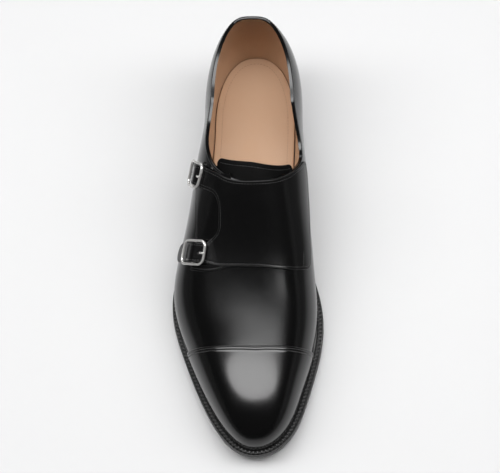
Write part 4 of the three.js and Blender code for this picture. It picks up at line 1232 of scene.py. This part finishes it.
# tongue: across its top
out = np.linspace(-0.9, 0.9, 160)
station = tongue["top"] - tongue["topDrop"] * out ** 2 + seam["tongueInset"]
rows.append(seamRow(*upperLine(station, tongueMiddle + out * tongueHalf,
                               tongue["lift"] + tongue["thickness"] - seam["sink"])))
addPiece("upper_stitches", joinParts(rows), thread, sharp=0, weld=False)

# lining: a stitched seam down its medial side, and a row round the sock
g = np.linspace(liningSeam["from"], liningSeam["to"], 60)
station = liningSeam["station"] + liningSeam["lean"] * (g - liningSeam["from"])
rows = [stitches(lifted(station, g, -last["wall"] - above), lastNormal(station, g), liningSeam["pitch"],
                 liningSeam["length"], liningSeam["radius"])]
for side in (-1, 1):
    flat = outline(soleStations(60, 60, 60), side, -sockSeam["inset"])
    line = np.column_stack([flat, soleHeight(flat[:, 1]) + sock["top"] + above])
    rows.append(levelRow(line, sockSeam["pitch"], sockSeam["length"], sockSeam["radius"]))
addPiece("lining_stitches", joinParts(rows), tanThread, sharp=0, weld=False)

# welt: one stitch between each two notches
flat = weltLine(welt["stitchShare"])
line = np.column_stack([flat, soleHeight(flat[:, 1]) + welt["stitchHeight"]])
weltRow = levelRow(np.vstack([line, line[:1]]), weltPitch, welt["stitchLength"], welt["stitchRadius"])
addPiece("welt_stitches", weltRow, thread, sharp=0, weld=False)
print("stitches ready")


# Floor, lights and camera
def floorMaterial():
    # pale and even to the eye; in the leather's reflections its colour darkens towards near black away from the
    # shoe:
    # painted shade, standing in for a floor that falls into shadow between dark studio walls
    made, tree, shader = material("paleFloor")
    place = objectPlace(tree)
    pale = colourMix(tree, noise(tree, place, 6.0, Detail=2.0), (0.64, 0.64, 0.644), (0.65, 0.65, 0.654))
    scaled = addNode(tree, "ShaderNodeVectorMath", {"operation": "MULTIPLY"}, in0=place, in1=(1.0, 0.55, 0.0))
    away = addNode(tree, "ShaderNodeVectorMath", {"operation": "LENGTH"},
                   in0=scaled.outputs[0]).outputs["Value"]
    # painted shade: for reflected rays the colour falls from pale to near black with distance from the shoe
    paintedShade = addNode(tree, "ShaderNodeMapRange", in0=away, in1=0.07, in2=0.22, in3=0.0, in4=0.94).outputs[0]
    mirrored = addNode(tree, "ShaderNodeLightPath").outputs["Is Glossy Ray"]
    tree.links.new(colourMix(tree, maths(tree, "MULTIPLY", paintedShade, mirrored), pale, grey(0.02)),
                   shader.inputs["Base Color"])
    shader.inputs["Roughness"].default_value = 0.85
    shader.inputs["Specular IOR Level"].default_value = 0.2
    return made


floorSize = 6.0
floorMesh = bpy.data.meshes.new("floor")
corners = [(x * floorSize, y * floorSize, 0) for x, y in ((-1, -1), (1, -1), (1, 1), (-1, 1))]
floorMesh.from_pydata(corners, [], [(0, 1, 2, 3)])
floorMesh.materials.append(floorMaterial())
floor = bpy.data.objects.new("floor", floorMesh)
bpy.context.scene.collection.objects.link(floor)


def softbox(name, place, target, size, radiance):
    # an even oval of light; its power follows from the brightness that its face shows
    lamp = bpy.data.lights.new(name, "AREA")
    lamp.shape = "ELLIPSE"
    lamp.size, lamp.size_y = size
    lamp.energy = radiance * math.pi * size[0] * size[1] * math.pi / 4
    box = bpy.data.objects.new(name, lamp)
    bpy.context.scene.collection.objects.link(box)
    box.location = place
    box.rotation_euler = (Vector(target) - Vector(place)).to_track_quat("-Z", "Y").to_euler()


softbox("overhead", (0.15, 0.0, 1.5), (0.15, 0.0, 0.0), (5.6, 0.69), 5.6)
softbox("overheadHalo", (0.15, 0.0, 1.52), (0.15, 0.0, 0.0), (6.2, 0.80), 0.7)
softbox("backLight", (0.0, 2.2, 1.5), (0.0, 0.0, 0.0), (3.0, 1.4), 2.2)
softbox("sideStrip", (-2.2, 0.0, 0.12), (0.0, 0.0, 0.10), (3.0, 0.3), 0.08)
softbox("medialStrip", (2.2, 0.0, 0.12), (0.0, 0.0, 0.10), (3.0, 0.3), 0.15)
world = bpy.data.worlds.new("studio")
bpy.context.scene.world = world
world.use_nodes = True
background = world.node_tree.nodes["Background"]
background.inputs["Color"].default_value = (1, 1, 1, 1)
background.inputs["Strength"].default_value = 0.035
bpy.context.scene.view_settings.view_transform = "Standard"

view = {"place": (0.0563, -0.3431, 0.9939), "aim": (-0.002, 0.004, 0.035), "frameAspect": 500 / 473,
        "fieldHeight": 0.335}
cameraData = bpy.data.cameras.new("camera")
camera = bpy.data.objects.new("camera", cameraData)
bpy.context.scene.collection.objects.link(camera)
shift = Vector(frameShift / 1000)
eye = Vector(view["place"]) + shift
forward = (Vector(view["aim"]) + shift - eye).normalized()
# rolled so that the shoe's width stays level in the picture
right = (Vector((1, 0, 0)) - forward * forward.x).normalized()
turn = Matrix((right, right.cross(forward), -forward)).transposed().to_4x4()
camera.matrix_world = Matrix.Translation(eye) @ turn
distance = (Vector(view["aim"]) + shift - eye).length
cameraData.sensor_fit = "HORIZONTAL"
cameraData.lens = cameraData.sensor_width * distance / (view["fieldHeight"] * view["frameAspect"])
bpy.context.scene.camera = camera
